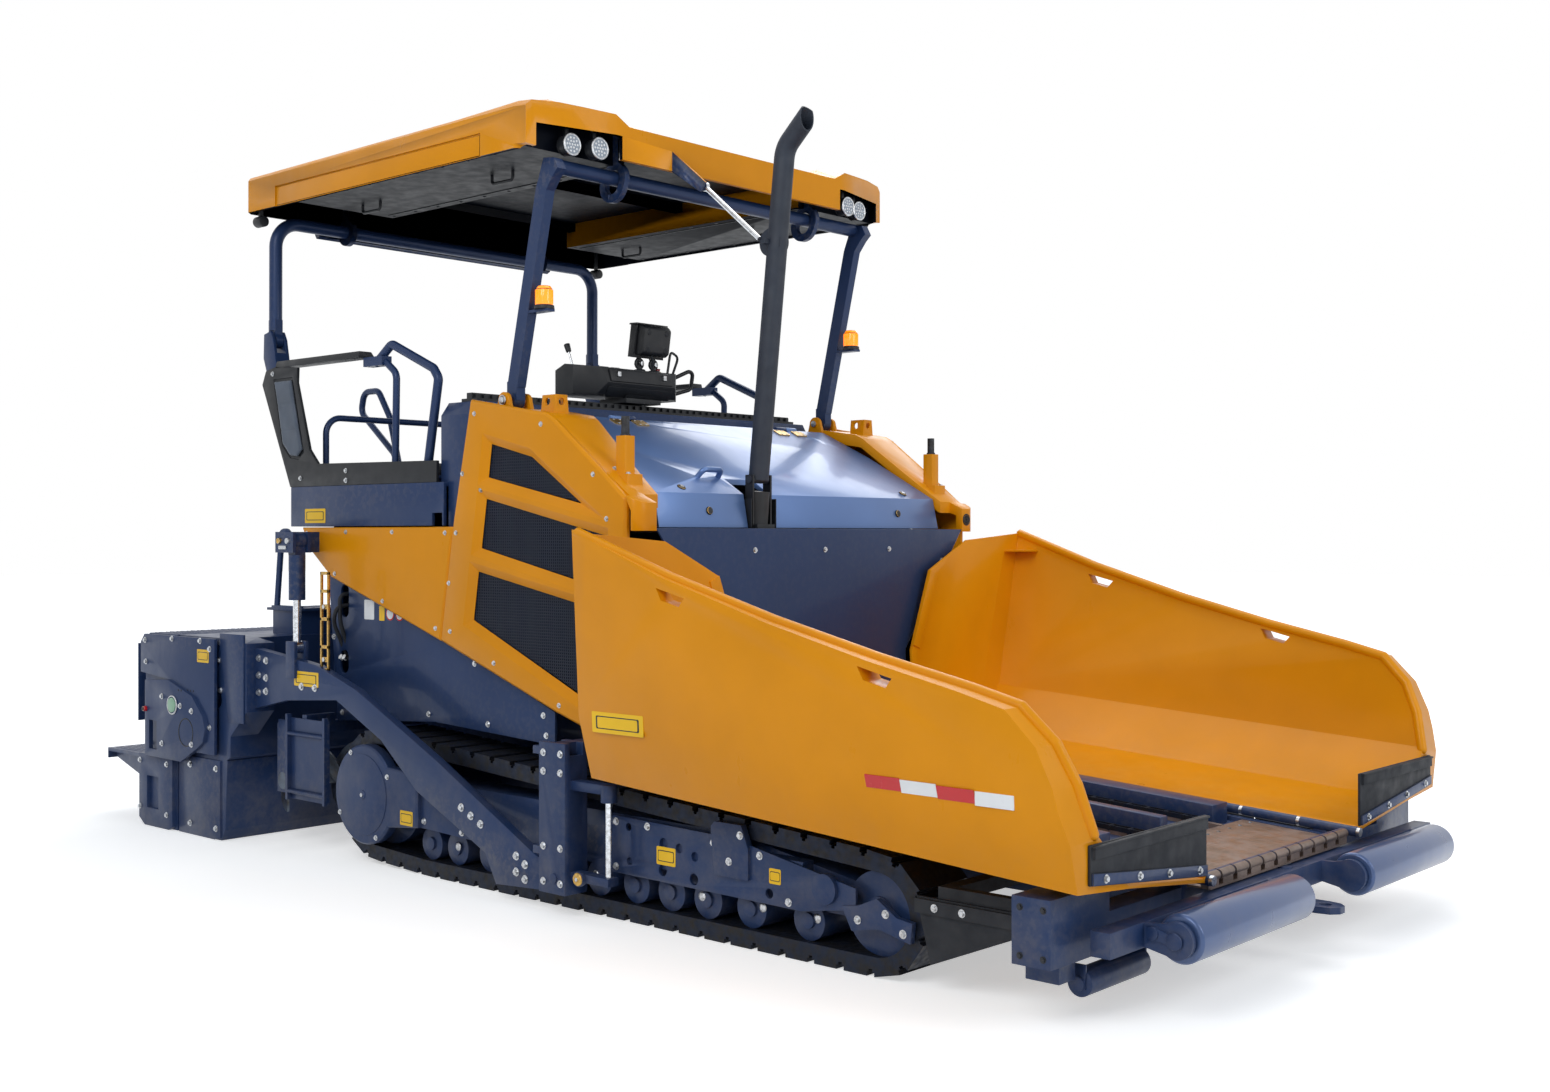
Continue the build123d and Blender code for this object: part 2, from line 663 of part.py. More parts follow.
rail_x, rail_z = -412, dash_top_z + 25
rail_half = body_half - 100
rack_teeth = 46
with BuildPart() as console_rail:
    block((rail_x - 60, rail_x + 60), (-rail_half, rail_half), (dash_top_z, dash_top_z + 18))
    block((rail_x - 20, rail_x + 20), (-rail_half, rail_half), (dash_top_z + 18, rail_z + 20))
    # toothed rack on the rail's front face, which the console's crank runs along
    for index in range(rack_teeth):
        y = (index + 0.5) * 2 * rail_half / rack_teeth - rail_half
        block((rail_x + 20, rail_x + 34), (y - 12, y + 12), (dash_top_z + 18, rail_z + 14))
keep(console_rail.part, "console_rail")

console_y = (-443, 303)
desk_z = rail_z + 65  # underside of the desk
with BuildPart() as console:
    # carriage that hangs over the rail, pedestal and a desk with cut-off corners
    block((rail_x - 75, rail_x + 75), (-190, 60), (rail_z + 26, rail_z + 50))
    block((rail_x - 130, rail_x - 60), (-190, 60), (rail_z - 20, rail_z + 50))
    plate_xz(
        (
            (rail_x - 110, rail_z + 45), (rail_x - 130, desk_z + 5), (rail_x + 60, desk_z + 5),
            (rail_x + 40, rail_z + 45),
        ),
        -160, 30,
    )
    plate_xz(
        (
            (rail_x - 270, desk_z), (rail_x - 280, desk_z + 92), (rail_x - 120, desk_z + 158),
            (rail_x + 44, desk_z + 140), (rail_x + 70, desk_z + 60), (rail_x + 30, desk_z),
        ),
        console_y[0], console_y[1],
    )
    for edge_y, turn in ((console_y[0], 1), (console_y[1], -1)):
        plate_xy(
            (
                (rail_x - 300, edge_y - turn * 5), (rail_x - 300, edge_y + turn * 130),
                (rail_x - 190, edge_y - turn * 5),
            ),
            desk_z - 10, desk_z + 200, mode=Mode.SUBTRACT,
        )
        plate_xy(
            (
                (rail_x + 90, edge_y - turn * 5), (rail_x + 90, edge_y + turn * 150),
                (rail_x - 60, edge_y - turn * 5),
            ),
            desk_z - 10, desk_z + 200, mode=Mode.SUBTRACT,
        )
    # screen on two stalks, facing the operator
    for stalk_y in (-6, 96):
        rod((rail_x - 20, stalk_y, desk_z + 130), (rail_x - 40, stalk_y + 12, desk_z + 250), 26)
    plate_xz(
        (
            (rail_x - 62, desk_z + 222), (rail_x - 20, desk_z + 215), (rail_x + 6, desk_z + 385),
            (rail_x - 36, desk_z + 392),
        ),
        -52, 170,
    )
    # guard loop at the left end
    with BuildLine() as guard:
        FilletPolyline(
            (rail_x - 120, console_y[1] - 20, desk_z + 30), (rail_x - 90, console_y[1] + 150, desk_z + 80),
            (rail_x - 60, console_y[1] + 140, desk_z + 190), (rail_x - 120, console_y[1] - 20, desk_z + 110),
            radius=26,
        )
    with BuildSketch(Plane(origin=guard.line @ 0, z_dir=guard.line % 0)) as guard_section:
        Circle(11)
    sweep(guard_section.sketch, path=guard.line)
keep(console.part, "console")

with BuildPart() as side_boards:
    for sign in SIGNS:
        near, far = sign * (body_half - 20), sign * body_half
        # frame plate with its opening, and the pad's backing set in from it
        frame = (
            (-1820, platform_top_z), (dash_rear_x, platform_top_z), (dash_rear_x, 1990), (-1560, 2003),
            (-1640, 2080), (-1760, 2440), (-1756, 2520), (-1960, 2533), (-2060, 2520), (-2097, 2447),
        )
        plate_xz(frame, near, far)
        plate_xz(
            ((-1690, 2066), (-1800, 2470), (-1985, 2470), (-1900, 2110), (-1820, 2040), (-1740, 2030)),
            far - sign * 8, far + sign, mode=Mode.SUBTRACT,
        )
        # armrest over the board's head
        plate_yz(
            (
                (far - sign * 95, 2546), (far - sign * 80, 2566), (far - sign * 6, 2566), (far, 2548),
                (far, 2533), (far - sign * 95, 2533),
            ),
            -1960, -1190,
        )
keep(side_boards.part, "side_boards")

seat_pan_z = 1925
with BuildPart() as seats:
    # each seat is a low folding bench between the side board and the middle of the platform
    for sign in SIGNS:
        y_in, y_out = sign * (body_half - 610), sign * (body_half - 130)
        for x in (-1420, -1120):
            block((x, x + 50), (y_in + sign * 60, y_out - sign * 60), (platform_top_z, seat_pan_z))
        block((-1470, -1040), (y_in, y_out), (seat_pan_z, seat_pan_z + 16))
        plate_xz(
            (
                (-1462, seat_pan_z + 16), (-1470, seat_pan_z + 60), (-1440, seat_pan_z + 84),
                (-1080, seat_pan_z + 74), (-1046, seat_pan_z + 50), (-1050, seat_pan_z + 16),
            ),
            y_in, y_out,
        )
keep(seats.part, "seats")

with BuildPart() as handrails:
    for sign in SIGNS:
        y = sign * (body_half - 60)
        foot_z = platform_top_z + 8
        # bow beside the step, from the armrest's end to its foot
        bent_tube(
            ((-701, y, foot_z), (-600, y, 2395), (-640, y, 2445), (-985, y, 2590), (-1120, y, 2500)),
            38, tube,
        )
        bent_tube(((-958, y, foot_z), (-945, y, 2440), (-1060, y, 2520)), 60, 36)
        for x in (-701, -958):
            block((x - 45, x + 45), (y - 40, y + 40), (platform_top_z, platform_top_z + 14))
        block((-1190, -1030), (y - 30, y + 30), (2486, 2533))
        # bow of the rear step
        y = sign * 560
        bent_tube(
            ((-1770, y, foot_z), (-1900, y, 2300), (-2010, y, 2455), (-2150, y, 2455), (-2180, y, 2340),
             (-1860, y, foot_z + 200), (-1790, y, foot_z + 60)),
            60, 36,
        )
        block((-1810, -1725), (y - 40, y + 40), (platform_top_z, platform_top_z + 14))
    # rail across the platform's rear, behind the operator
    y = body_half - 190
    bent_tube(
        ((-1772, -y, platform_top_z), (-1772, -y, 2265), (-1772, y, 2265), (-1772, y, platform_top_z)), 90, 34,
    )
keep(handrails.part, "handrails")

with BuildPart() as rear_posts:
    for sign in SIGNS:
        y = sign * rear_post_y
        foot = (-1812, platform_top_z)
        plate_xz(
            (
                foot, (-1720, platform_top_z), (-2010, 2450),
                (rear_pivot[0] + 45, rear_pivot[1]), (rear_pivot[0] + 20, rear_pivot[1] + 45),
                (rear_pivot[0] - 45, rear_pivot[1] + 30), (rear_pivot[0] - 50, 2600), (-2090, 2430),
            ),
            y - 45, y + 45,
        )
        # slot between the two cheeks, where the hoop's foot turns
        block((rear_pivot[0] - 120, rear_pivot[0] + 140), (y - 27, y + 27),
              (rear_pivot[1] - 75, rear_pivot[1] + 60), mode=Mode.SUBTRACT)
        rod((rear_pivot[0], y - 40, rear_pivot[1]), (rear_pivot[0], y + 40, rear_pivot[1]), 30)
keep(rear_posts.part, "rear_posts")

# ---------------------------------------------------------------- canopy and its links
with BuildPart() as rear_hoop:
    px, pz = rear_pivot
    jx, jz = rear_joint
    bent_tube(
        ((px, -rear_post_y, pz + 50), (jx, -rear_post_y, jz), (jx, rear_post_y, jz),
         (px, rear_post_y, pz + 50)),
        140, rear_tube,
    )
    for sign in SIGNS:
        y = sign * rear_post_y
        rod((px, y - 22, pz), (px, y + 22, pz), 90)
        block((px - 35, px + 35), (y - 22, y + 22), (pz, pz + 110))
        rod((px, y - 40, pz), (px, y + 40, pz), 31, mode=Mode.SUBTRACT)
keep(rear_hoop.part, "rear_hoop")

with BuildPart() as front_hoop:
    px, pz = front_pivot
    jx, jz = front_joint
    post_x = px + (beacon_z - pz) * (jx - px) / (jz - pz)
    rod((jx, -front_post_y, jz), (jx, front_post_y, jz), front_tube)
    for sign in SIGNS:
        y = sign * front_post_y
        # box-section post whose head is cranked forward
        plate_xz(
            (
                (px - 30, pz + 62), (px + 44, pz + 62), (jx + 12, jz - 120), (jx + 58, jz - 62),
                (jx + 92, jz - 30), (jx + 66, jz + 20), (jx - 6, jz + 30), (jx - 62, jz - 108),
            ),
            y - 26, y + 26,
        )
        rod((px, y - 30, pz), (px, y + 30, pz), 70)
        block((px - 30, px + 40), (y - 26, y + 26), (pz, pz + 90))
        rod((px, y - 40, pz), (px, y + 40, pz), 31, mode=Mode.SUBTRACT)
        # bracket for the beacon
        block((post_x + 10, post_x + 150), (y - 25, y + 25), (beacon_z - 60, beacon_z - 48))
keep(front_hoop.part, "front_hoop")

with BuildPart() as beacons:
    for sign in SIGNS:
        y = sign * front_post_y
        rod((post_x + 105, y, beacon_z - 48), (post_x + 105, y, beacon_z - 30), 96)
        rod((post_x + 105, y, beacon_z - 30), (post_x + 105, y, beacon_z + 60), 84)
        top_edges = beacons.edges().filter_by(GeomType.CIRCLE).group_by(Axis.Z)[-1]
        chamfer(top_edges.sort_by(Axis.Y)[-1 if sign > 0 else 0], 12)
keep(beacons.part, "beacons")

middle_z = canopy_low_z + canopy_depth
crest_x = canopy_front_x - 198
# the roof's cross section: distance from the middle, then its height over the middle of the roof
# at the rear edge, at the crest of the humps and at the nose
roof_columns = (
    (canopy_half, -30, -10, -20),
    (canopy_half - 30, -5, 20, 0),
    (canopy_half - 205, 10, hump_height, 10),
    (canopy_half - 450, 0, hump_height - 10, 5),
    (canopy_half - 535, 0, 0, -40),
)
canopy_plan = (
    (canopy_rear_x, 40 - canopy_half), (canopy_rear_x + 40, -canopy_half),
    (canopy_front_x - 112, -canopy_half), (canopy_front_x, 450 - canopy_half),
    (canopy_front_x, canopy_half - 450), (canopy_front_x - 112, canopy_half),
    (canopy_rear_x + 40, canopy_half), (canopy_rear_x, canopy_half - 40),
)
rim, ceiling_z = 24, middle_z - 50
lining_z = canopy_low_z + 10
lining_x = (canopy_rear_x + 450, canopy_front_x - 160)
lining_y = 640
with BuildPart() as canopy:
    sections = []
    for column, x in enumerate((canopy_rear_x, crest_x, canopy_front_x), start=1):
        left = [(row[0], middle_z + row[column]) for row in roof_columns]
        right = [(-y, z) for y, z in reversed(left)]
        with BuildSketch(Plane.YZ.offset(x)) as section:
            with BuildLine():
                Polyline((canopy_half, canopy_low_z), *left, *right, (-canopy_half, canopy_low_z), close=True)
            make_face()
        sections.append(section.sketch)
    loft(sections, ruled=True)
    plate_xy(canopy_plan, canopy_low_z, middle_z + 2 * hump_height, mode=Mode.INTERSECT)
    with BuildSketch(Plane.XY.offset(canopy_low_z)) as ceiling:
        with BuildLine():
            Polyline(*canopy_plan, close=True)
        make_face()
        offset(amount=-rim, kind=Kind.INTERSECTION, mode=Mode.REPLACE)
    extrude(ceiling.sketch, amount=ceiling_z - canopy_low_z, mode=Mode.SUBTRACT)
    for sign in SIGNS:
        # panel set into the side, and the recess that the front lamps hang in
        block((canopy_rear_x + 308, canopy_front_x - 442), (sign * (canopy_half - 8), sign * (canopy_half + 1)),
              (canopy_low_z - 1, canopy_low_z + 107), mode=Mode.SUBTRACT)
        block((canopy_front_x - 140, canopy_front_x + 30), (sign * (canopy_half - 490), sign * (canopy_half - 50)),
              (canopy_low_z - 5, canopy_low_z + 110), mode=Mode.SUBTRACT)
        # lining boxes along both sides, with the beam between them and the middle
        inner, outer = sign * lining_y, sign * (canopy_half - rim + 2)
        block(lining_x, (inner, outer), (lining_z, lining_z + 10))
        block(lining_x, (inner, inner + sign * 12), (lining_z, ceiling_z + 2))
        for x in (lining_x[0], lining_x[1] - 12):
            block((x, x + 12), (inner, outer), (lining_z, ceiling_z + 2))
    for x in (lining_x[0] + 20, (lining_x[0] + lining_x[1]) / 2, lining_x[1] - 80):
        block((x, x + 60), (-lining_y - 2, lining_y + 2), (ceiling_z - 50, ceiling_z + 2))
    # sunshade blade below the rear edge
    plate_xz(
        (
            (canopy_rear_x + 12, canopy_low_z + 20), (canopy_rear_x + 4, canopy_low_z - 60),
            (canopy_rear_x + 18, canopy_low_z - 82), (canopy_rear_x + 46, canopy_low_z - 70),
            (canopy_rear_x + 40, canopy_low_z - 4), (canopy_rear_x + 22, canopy_low_z + 20),
        ),
        -850, 850,
    )
    # hangers for the two hoops: joint, bore, shifts (x, z) of the eye's slot
    for (x, z), bore, shifts in (
        (rear_joint, rear_tube + pivot_play, ((0, 0),)), (front_joint, front_tube + slot_play, front_eye_shifts),
    ):
        for sign in SIGNS:
            near, far = sign * hanger_y - 15, sign * hanger_y + 15
            block((x - 30, x + 30), (near, far), (z + 20, ceiling_z + 2))
            for shift_x, shift_z in shifts:
                rod((x + shift_x, near, z + shift_z), (x + shift_x, far, z + shift_z), bore + 76)
            for shift_x, shift_z in shifts:
                rod((x + shift_x, near - 5, z + shift_z), (x + shift_x, far + 5, z + shift_z), bore,
                    mode=Mode.SUBTRACT)
    # bracket for the exhaust's strut
    plate_xz(
        (
            (canopy_front_x - 20, canopy_low_z + 110), (strut_joint[0] + 25, strut_joint[1] + 15),
            (strut_joint[0] - 10, strut_joint[1] - 25), (canopy_front_x - 40, canopy_low_z + 20),
        ),
        strut_y - 24, strut_y - 12,
    )
keep(canopy.part, "canopy")

lamp_z = canopy_low_z + 38
with BuildPart() as roof_lamps:
    for sign in SIGNS:
        for x, y in ((canopy_front_x - 95, canopy_half - 240), (canopy_front_x - 60, canopy_half - 380)):
            block((x - 30, x - 10), (sign * y - 10, sign * y + 10), (lamp_z, ceiling_z - fit))
            rod((x - 35, sign * y, lamp_z), (x + 14, sign * y, lamp_z), 84)
            rod((x + 8, sign * y, lamp_z), (x + 30, sign * y, lamp_z), 104)
        x, y, z = canopy_rear_x + 64, sign * (canopy_half - 62), canopy_low_z - 45
        rod((x - 36, y, z), (x + 36, y, z), 60)
        block((x - 10, x + 10), (y - 10, y + 10), (z, ceiling_z - fit))
keep(roof_lamps.part, "roof_lamps")

# ---------------------------------------------------------------- exhaust
with BuildPart() as exhaust:
    foot_x, foot_z = exhaust_foot
    top_x, top_z = exhaust_clamp
    mouth_x, mouth_z = foot_x + 318, foot_z + 1670
    bent_tube(
        ((foot_x, exhaust_y, foot_z), (foot_x + 166, exhaust_y, foot_z + 1530), (mouth_x, exhaust_y, mouth_z)),
        120, 2 * exhaust_radius,
    )
    # open mouth, cut upright
    block((mouth_x - 18, mouth_x + 100), (exhaust_y - 80, exhaust_y + 80), (mouth_z - 140, mouth_z + 80),
          mode=Mode.SUBTRACT)
    rod((mouth_x - 88, exhaust_y, mouth_z - 81), (mouth_x + 30, exhaust_y, mouth_z + 28), 2 * exhaust_radius - 12,
        mode=Mode.SUBTRACT)
    # clamp ear for the strut
    rod((top_x, exhaust_y - 30, top_z), (top_x, exhaust_y + 30, top_z), 130)
    block((top_x - 12, top_x + 12), (exhaust_y - 76, exhaust_y - 20), (top_z - 12, top_z + 12))
    rod((foot_x, exhaust_y - 70, foot_z), (foot_x, exhaust_y + 70, foot_z), 36)
keep(exhaust.part, "exhaust")

with BuildPart() as exhaust_foot_bracket:
    block((720, 800), (exhaust_y - 60, exhaust_y + 60), (1640, 1680))
    rod((735, exhaust_y, 1680), (748, exhaust_y, 1835), 2 * exhaust_radius + 16)
    for y in (exhaust_y - 66, exhaust_y + 56):
        block((728, 776), (y, y + 10), (1640, 1912))
    rod((foot_x, exhaust_y - 80, foot_z), (foot_x, exhaust_y + 80, foot_z), 37, mode=Mode.SUBTRACT)
    block((back_wall_x - 130, back_wall_x), (exhaust_y - 90, exhaust_y + 90), (1600, 1640))
keep(exhaust_foot_bracket.part, "exhaust_socket")

with BuildPart() as exhaust_strut:
    sx, sz = strut_joint
    ex, ez = exhaust_clamp
    near, far = (sx, strut_y, sz), (ex, strut_y, ez)
    run = (Vector(*far) - Vector(*near)).normalized()
    tip = Vector(*far) - run * 14
    rod(near, (tip.X, tip.Y, tip.Z), 24)
    rod((sx, strut_y - 11, sz), (sx, strut_y + 11, sz), 44)
keep(exhaust_strut.part, "exhaust_strut")

# ---------------------------------------------------------------- hopper wings
bend_two, bend_one = (1200, 65), (1420, 270)  # inner floor bends: y, height above the hinge
crease, outer_low = (1600, 340), (1530, 80)
# the edge tube's line: share of the wing's length from its rear end, and height
wing_length = wing_front_x - hinge_rear_x
edge_line = tuple(
    (hinge_rear_x + share * wing_length, z)
    for share, z in (
        (0.005, wing_top_z - 12), (0.224, 1464), (0.45, 1313), (0.653, 1197), (0.824, 1112),
        (0.904, 1065), (0.954, 950), (0.98, 820), (0.996, 660),
    )
)
wing_outline = (
    (hinge_rear_x, hinge_z(hinge_rear_x) - 60), (hinge_rear_x, wing_top_z), *edge_line[1:8],
    (wing_front_x, 640), (wing_front_x, 340),
)


def wing_wall_y(x, z):
    """Distance of the wing's inner wall from the middle at a point of its side view."""
    rise = z - hinge_z(x)
    return bend_one[0] + (rise - bend_one[1]) * (wing_edge_y - bend_one[0]) / (1130 - bend_one[1])


for side, sign in SIDES:
    with BuildPart() as wing:
        # the folded sheet runs along the sloping hinge
        rear_z = hinge_z(hinge_rear_x)
        section_points = (
            (hinge_y, -14), (hinge_y, 0), (bend_two[0], bend_two[1]), (bend_one[0], bend_one[1]),
            (wing_edge_y + 10, 1180), (wing_edge_y + 22, 1180), (crease[0], crease[1]),
            (outer_low[0], outer_low[1]), (bend_two[0], bend_two[1] - 14),
        )
        with BuildSketch(Plane.YZ.offset(hinge_rear_x)) as section:
            with BuildLine():
                Polyline(*[(sign * y, rear_z + z) for y, z in section_points], close=True)
            make_face()
        along = Vector(1, 0, -hinge_slope).normalized()
        length = (wing_front_x - hinge_rear_x) / along.X
        extrude(amount=length, dir=along)
        plate_xz(wing_outline, sign * 500, sign * 1800, mode=Mode.INTERSECT)
        # rear end plate with a bar along its inner edge and a gusset in its corner
        plate_yz(
            (
                (sign * 1612, wing_top_z - 12), (sign * 1118, wing_top_z - 49), (sign * 789, 1449),
                (sign * 632, 1045), (sign * 672, rear_z), (sign * bend_two[0], rear_z + bend_two[1] - 10),
                (sign * bend_one[0], rear_z + bend_one[1] - 10), (sign * crease[0], rear_z + crease[1]),
            ),
            hinge_rear_x, hinge_rear_x + sheet,
        )
        plate_yz(
            ((sign * 789, 1449), (sign * 642, 1071), (sign * 700, 1048), (sign * 846, 1424)),
            hinge_rear_x + sheet - 1, hinge_rear_x + sheet + 8,
        )
        block((hinge_rear_x + sheet, hinge_rear_x + 150), (sign * 1470, sign * wing_wall_y(hinge_rear_x + 80, 1545)),
              (1540, 1550))
        # hinge knuckle along the inner edge
        rod((hinge_rear_x, sign * hinge_y, rear_z), (wing_front_x, sign * hinge_y, hinge_z(wing_front_x)), 36)
        # rolled edge tube round the top and the nose
        points = [(x, sign * (wing_wall_y(x, z) + 8), z) for x, z in edge_line]
        for start, end in zip(points, points[1:]):
            rod(start, end, tube)
            with Locations(end):
                Sphere(tube / 2)
        # tapered cut-outs below the edge
        for share, z in ((0.241, 1400), (0.672, 1150)):
            x = hinge_rear_x + share * wing_length
            plate_xz(
                ((x - 76, z + 24), (x + 76, z - 12), (x + 48, z - 46), (x - 50, z - 24)),
                sign * 1300, sign * 1800, mode=Mode.SUBTRACT,
            )
    keep(wing.part, f"wing_{side}")

    with BuildPart() as lip:
        # rubber plate bolted to a bar across the wing's mouth
        plate_yz(
            (
                (sign * 680, 412), (sign * 680, 632), (sign * 1470, 632), (sign * 1470, 500),
                (sign * 1200, 470),
            ),
            wing_front_x + fit, wing_front_x + 12,
        )
        block((wing_front_x + 12, wing_front_x + 24), (sign * 690, sign * 1460), (584, 624))
    keep(lip.part, f"wing_lip_{side}")

# ---------------------------------------------------------------- front of the hopper
with BuildPart() as hopper_sill:
    plate_xz(
        (
            (sill_rear_x, floor_z(sill_rear_x) + 24), (frame_front_x, floor_z(frame_front_x) + 24),
            (frame_front_x, floor_z(frame_front_x)), (sill_rear_x, floor_z(sill_rear_x)),
        ),
        -560, 560,
    )
    block((frame_front_x, frame_front_x + 92), (-600, 600), (347, 355))
    for index in range(-5, 6):
        y = index * 114
        rod((hinge_front_x - 26, y - 50, 388), (hinge_front_x - 26, y + 50, 388), 38)
        block((hinge_front_x - 42, hinge_front_x - 10), (y - 40, y + 40), (350, 380))
keep(hopper_sill.part, "hopper_sill")

with BuildPart() as front_beam:
    block((frame_front_x - 110, frame_front_x), (-1150, 1150), (190, frame_bottom_z))
    for sign in SIGNS:
        block((frame_front_x - 110, frame_front_x), (sign * (frame_half + 2), sign * 1150), (190, 350))
        block((frame_front_x - 150, frame_front_x), (sign * 1150, sign * 1520), (218, 445))
        block((frame_front_x - 148, frame_front_x - 18), (sign * 1340, sign * 1440), (153, 262))
        # roller under the beam that keeps the apron off the ground
        wheel_x, wheel_z = frame_front_x - 30, 130
        for y in (890, 1292):
            plate_xz(
                ((wheel_x - 40, 195), (wheel_x - 24, wheel_z - 20), (wheel_x + 24, wheel_z - 20), (wheel_x + 28, 195)),
                sign * y, sign * (y + 8),
            )
        rod((wheel_x, sign * 898, wheel_z), (wheel_x, sign * 1292, wheel_z), 96)
        rod((wheel_x, sign * 1292, wheel_z), (wheel_x, sign * 1312, wheel_z), 50)
    # swivel lugs above and below the push beam
    block((frame_front_x, beam_pin_x + 50), (-110, 110), (222, 246))
    block((frame_front_x, beam_pin_x - 60), (-110, 110), (246, 340))
    rod((beam_pin_x, 0, 246), (beam_pin_x, 0, 345), 50)
    # towing eye
    eye_x = beam_pin_x + 162
    plate_xy(
        (
            (frame_front_x, -60), (eye_x - 10, -62), (eye_x + 40, -52), (eye_x + 68, -20), (eye_x + 68, 20),
            (eye_x + 40, 52), (eye_x - 10, 62), (frame_front_x, 60),
        ),
        196, 222,
    )
    with Locations((eye_x, 0, 209)):
        Cylinder(24, 60, mode=Mode.SUBTRACT)
keep(front_beam.part, "front_beam")

with BuildPart() as push_beam:
    block((beam_pin_x - 28, beam_pin_x + 46), (-1395, 1395), (255, 340))
    rod((beam_pin_x, 0, 255), (beam_pin_x, 0, 350), 51, mode=Mode.SUBTRACT)
    block((beam_pin_x - 60, beam_pin_x - 20), (-118, 118), (200, 400), mode=Mode.SUBTRACT)
    for sign in SIGNS:
        for y in (push_inner_y - 34, push_outer_y + 12):
            near, far = sign * y, sign * (y + 22)
            plate_xz(
                (
                    (beam_pin_x + 40, 258), (push_axis_x + 10, push_axis_z - 62), (push_axis_x + 10, push_axis_z + 62),
                    (beam_pin_x + 90, 340), (beam_pin_x + 40, 340),
                ),
                near, far,
            )
            rod((push_axis_x, near, push_axis_z), (push_axis_x, far, push_axis_z), 126)
        rod((push_axis_x, sign * (push_inner_y - 30), push_axis_z),
            (push_axis_x, sign * (push_outer_y + 44), push_axis_z), 38)
        # pinned link that locks the roller's end
        far = sign * (push_outer_y + 34)
        rod((push_axis_x - 78, far, push_axis_z + 16), (push_axis_x - 78, far + sign * 16, push_axis_z + 16), 44)
        plate_xz(
            (
                (push_axis_x - 96, push_axis_z - 2), (push_axis_x - 70, push_axis_z + 36),
                (push_axis_x - 4, push_axis_z + 16), (push_axis_x - 4, push_axis_z - 18),
            ),
            far, far + sign * 10,
        )
keep(push_beam.part, "push_beam")

for side, sign in SIDES:
    with BuildPart() as push_roller:
        rod((push_axis_x, sign * push_inner_y, push_axis_z),
            (push_axis_x, sign * push_outer_y, push_axis_z), 2 * push_radius)
        rims = push_roller.faces().filter_by(Axis.Y).edges()
        chamfer(rims, 8)
        rod((push_axis_x, sign * (push_inner_y - 5), push_axis_z),
            (push_axis_x, sign * (push_outer_y + 5), push_axis_z), 40, mode=Mode.SUBTRACT)
    keep(push_roller.part, f"push_roller_{side}")

flap_rear_x = frame_front_x - 676
flap_y = frame_half + 688
with BuildPart() as flaps:
    for sign in SIGNS:
        plate_xz(
            (
                (flap_rear_x, 337), (flap_rear_x + 62, 96), (frame_front_x - 201, 269),
                (frame_front_x - 201, 337),
            ),
            sign * flap_y, sign * (flap_y + 12),
        )
        block((flap_rear_x, frame_front_x - 150), (sign * (flap_y + 12), sign * (flap_y + 24)), (280, 330))
        block((flap_rear_x + 88, flap_rear_x + 148), (sign * frame_half, sign * flap_y), (330, 380))
        block((flap_rear_x + 148, frame_front_x - 150), (sign * (flap_y - 38), sign * flap_y), (330, 380))
keep(flaps.part, "flaps")

# ---------------------------------------------------------------- screed suspension
with BuildPart() as tow_guides:
    guide_top_z = 745
    for sign in SIGNS:
        near, far = sign * (arm_y + 34), sign * (arm_y + 64)
        # cross arm over the track and the upright channel that the arm's nose runs in
        block((tow_x - 30, tow_x + 30), (sign * frame_half, far), (guide_top_z - 55, guide_top_z))
        block((tow_x - 100, tow_x + 68), (near, far), (102, guide_top_z))
        block((tow_x + 46, tow_x + 68), (sign * (arm_y - 60), near), (102, guide_top_z - 55))
        block((tow_x - 70, tow_x + 68), (sign * (arm_y - 64), sign * (arm_y - 36)), (110, guide_top_z))
        rod((tow_x, sign * (arm_y - 36), tow_z), (tow_x, far + sign * 10, tow_z), 44)
        # collars that the arm's nose slides between
        for z in (262, 690):
            block((tow_x - 140, tow_x - 100), (near, far), (z, z + 34))
        # levelling cylinder ahead of the guide, and the sensor wheel on its bracket
        level_x = tow_x + 274
        rod((level_x, sign * arm_y, 514), (level_x, sign * arm_y, 588), 70)
        rod((level_x, sign * arm_y, 190), (level_x, sign * arm_y, 514), 30)
        block((tow_x + 60, level_x), (sign * (arm_y - 30), sign * (arm_y + 30)), (548, 588))
        block((tow_x + 60, level_x + 26), (sign * (arm_y - 30), sign * (arm_y + 30)), (165, 200))
        rod((tow_x + 137, sign * (arm_y + 30), 182), (tow_x + 137, sign * (arm_y + 52), 182), 64)
keep(tow_guides.part, "tow_guides")

arm_outline = (
    (arm_rear_x, 1035), (-1272, 975), (-922, 871), (-282, 586), (432, 238), (tow_x + 34, 198),
    (tow_x + 34, 128), (tow_x + 12, 106), (465, 95), (158, 77), (80, 206), (-435, 431), (-714, 643), (-1094, 811),
    (-1546, 780), (arm_rear_x, 719),
)
lift_x, lift_foot_z, lift_head_z = -1481, 1056, 1600
with BuildPart() as tow_arms:
    for sign in SIGNS:
        near, far = sign * (arm_y - arm_thick / 2), sign * (arm_y + arm_thick / 2)
        plate_xz(arm_outline, near, far)
        rod((tow_x, sign * (arm_y - 60), tow_z), (tow_x, sign * (arm_y + 60), tow_z), 45, mode=Mode.SUBTRACT)
        # clevis that the lift cylinder's rod stands in
        for y in (arm_y - 41, arm_y + 23):
            block((lift_x - 40, lift_x + 40), (sign * y, sign * (y + 18)), (900, lift_foot_z + 30))
keep(tow_arms.part, "tow_arms")

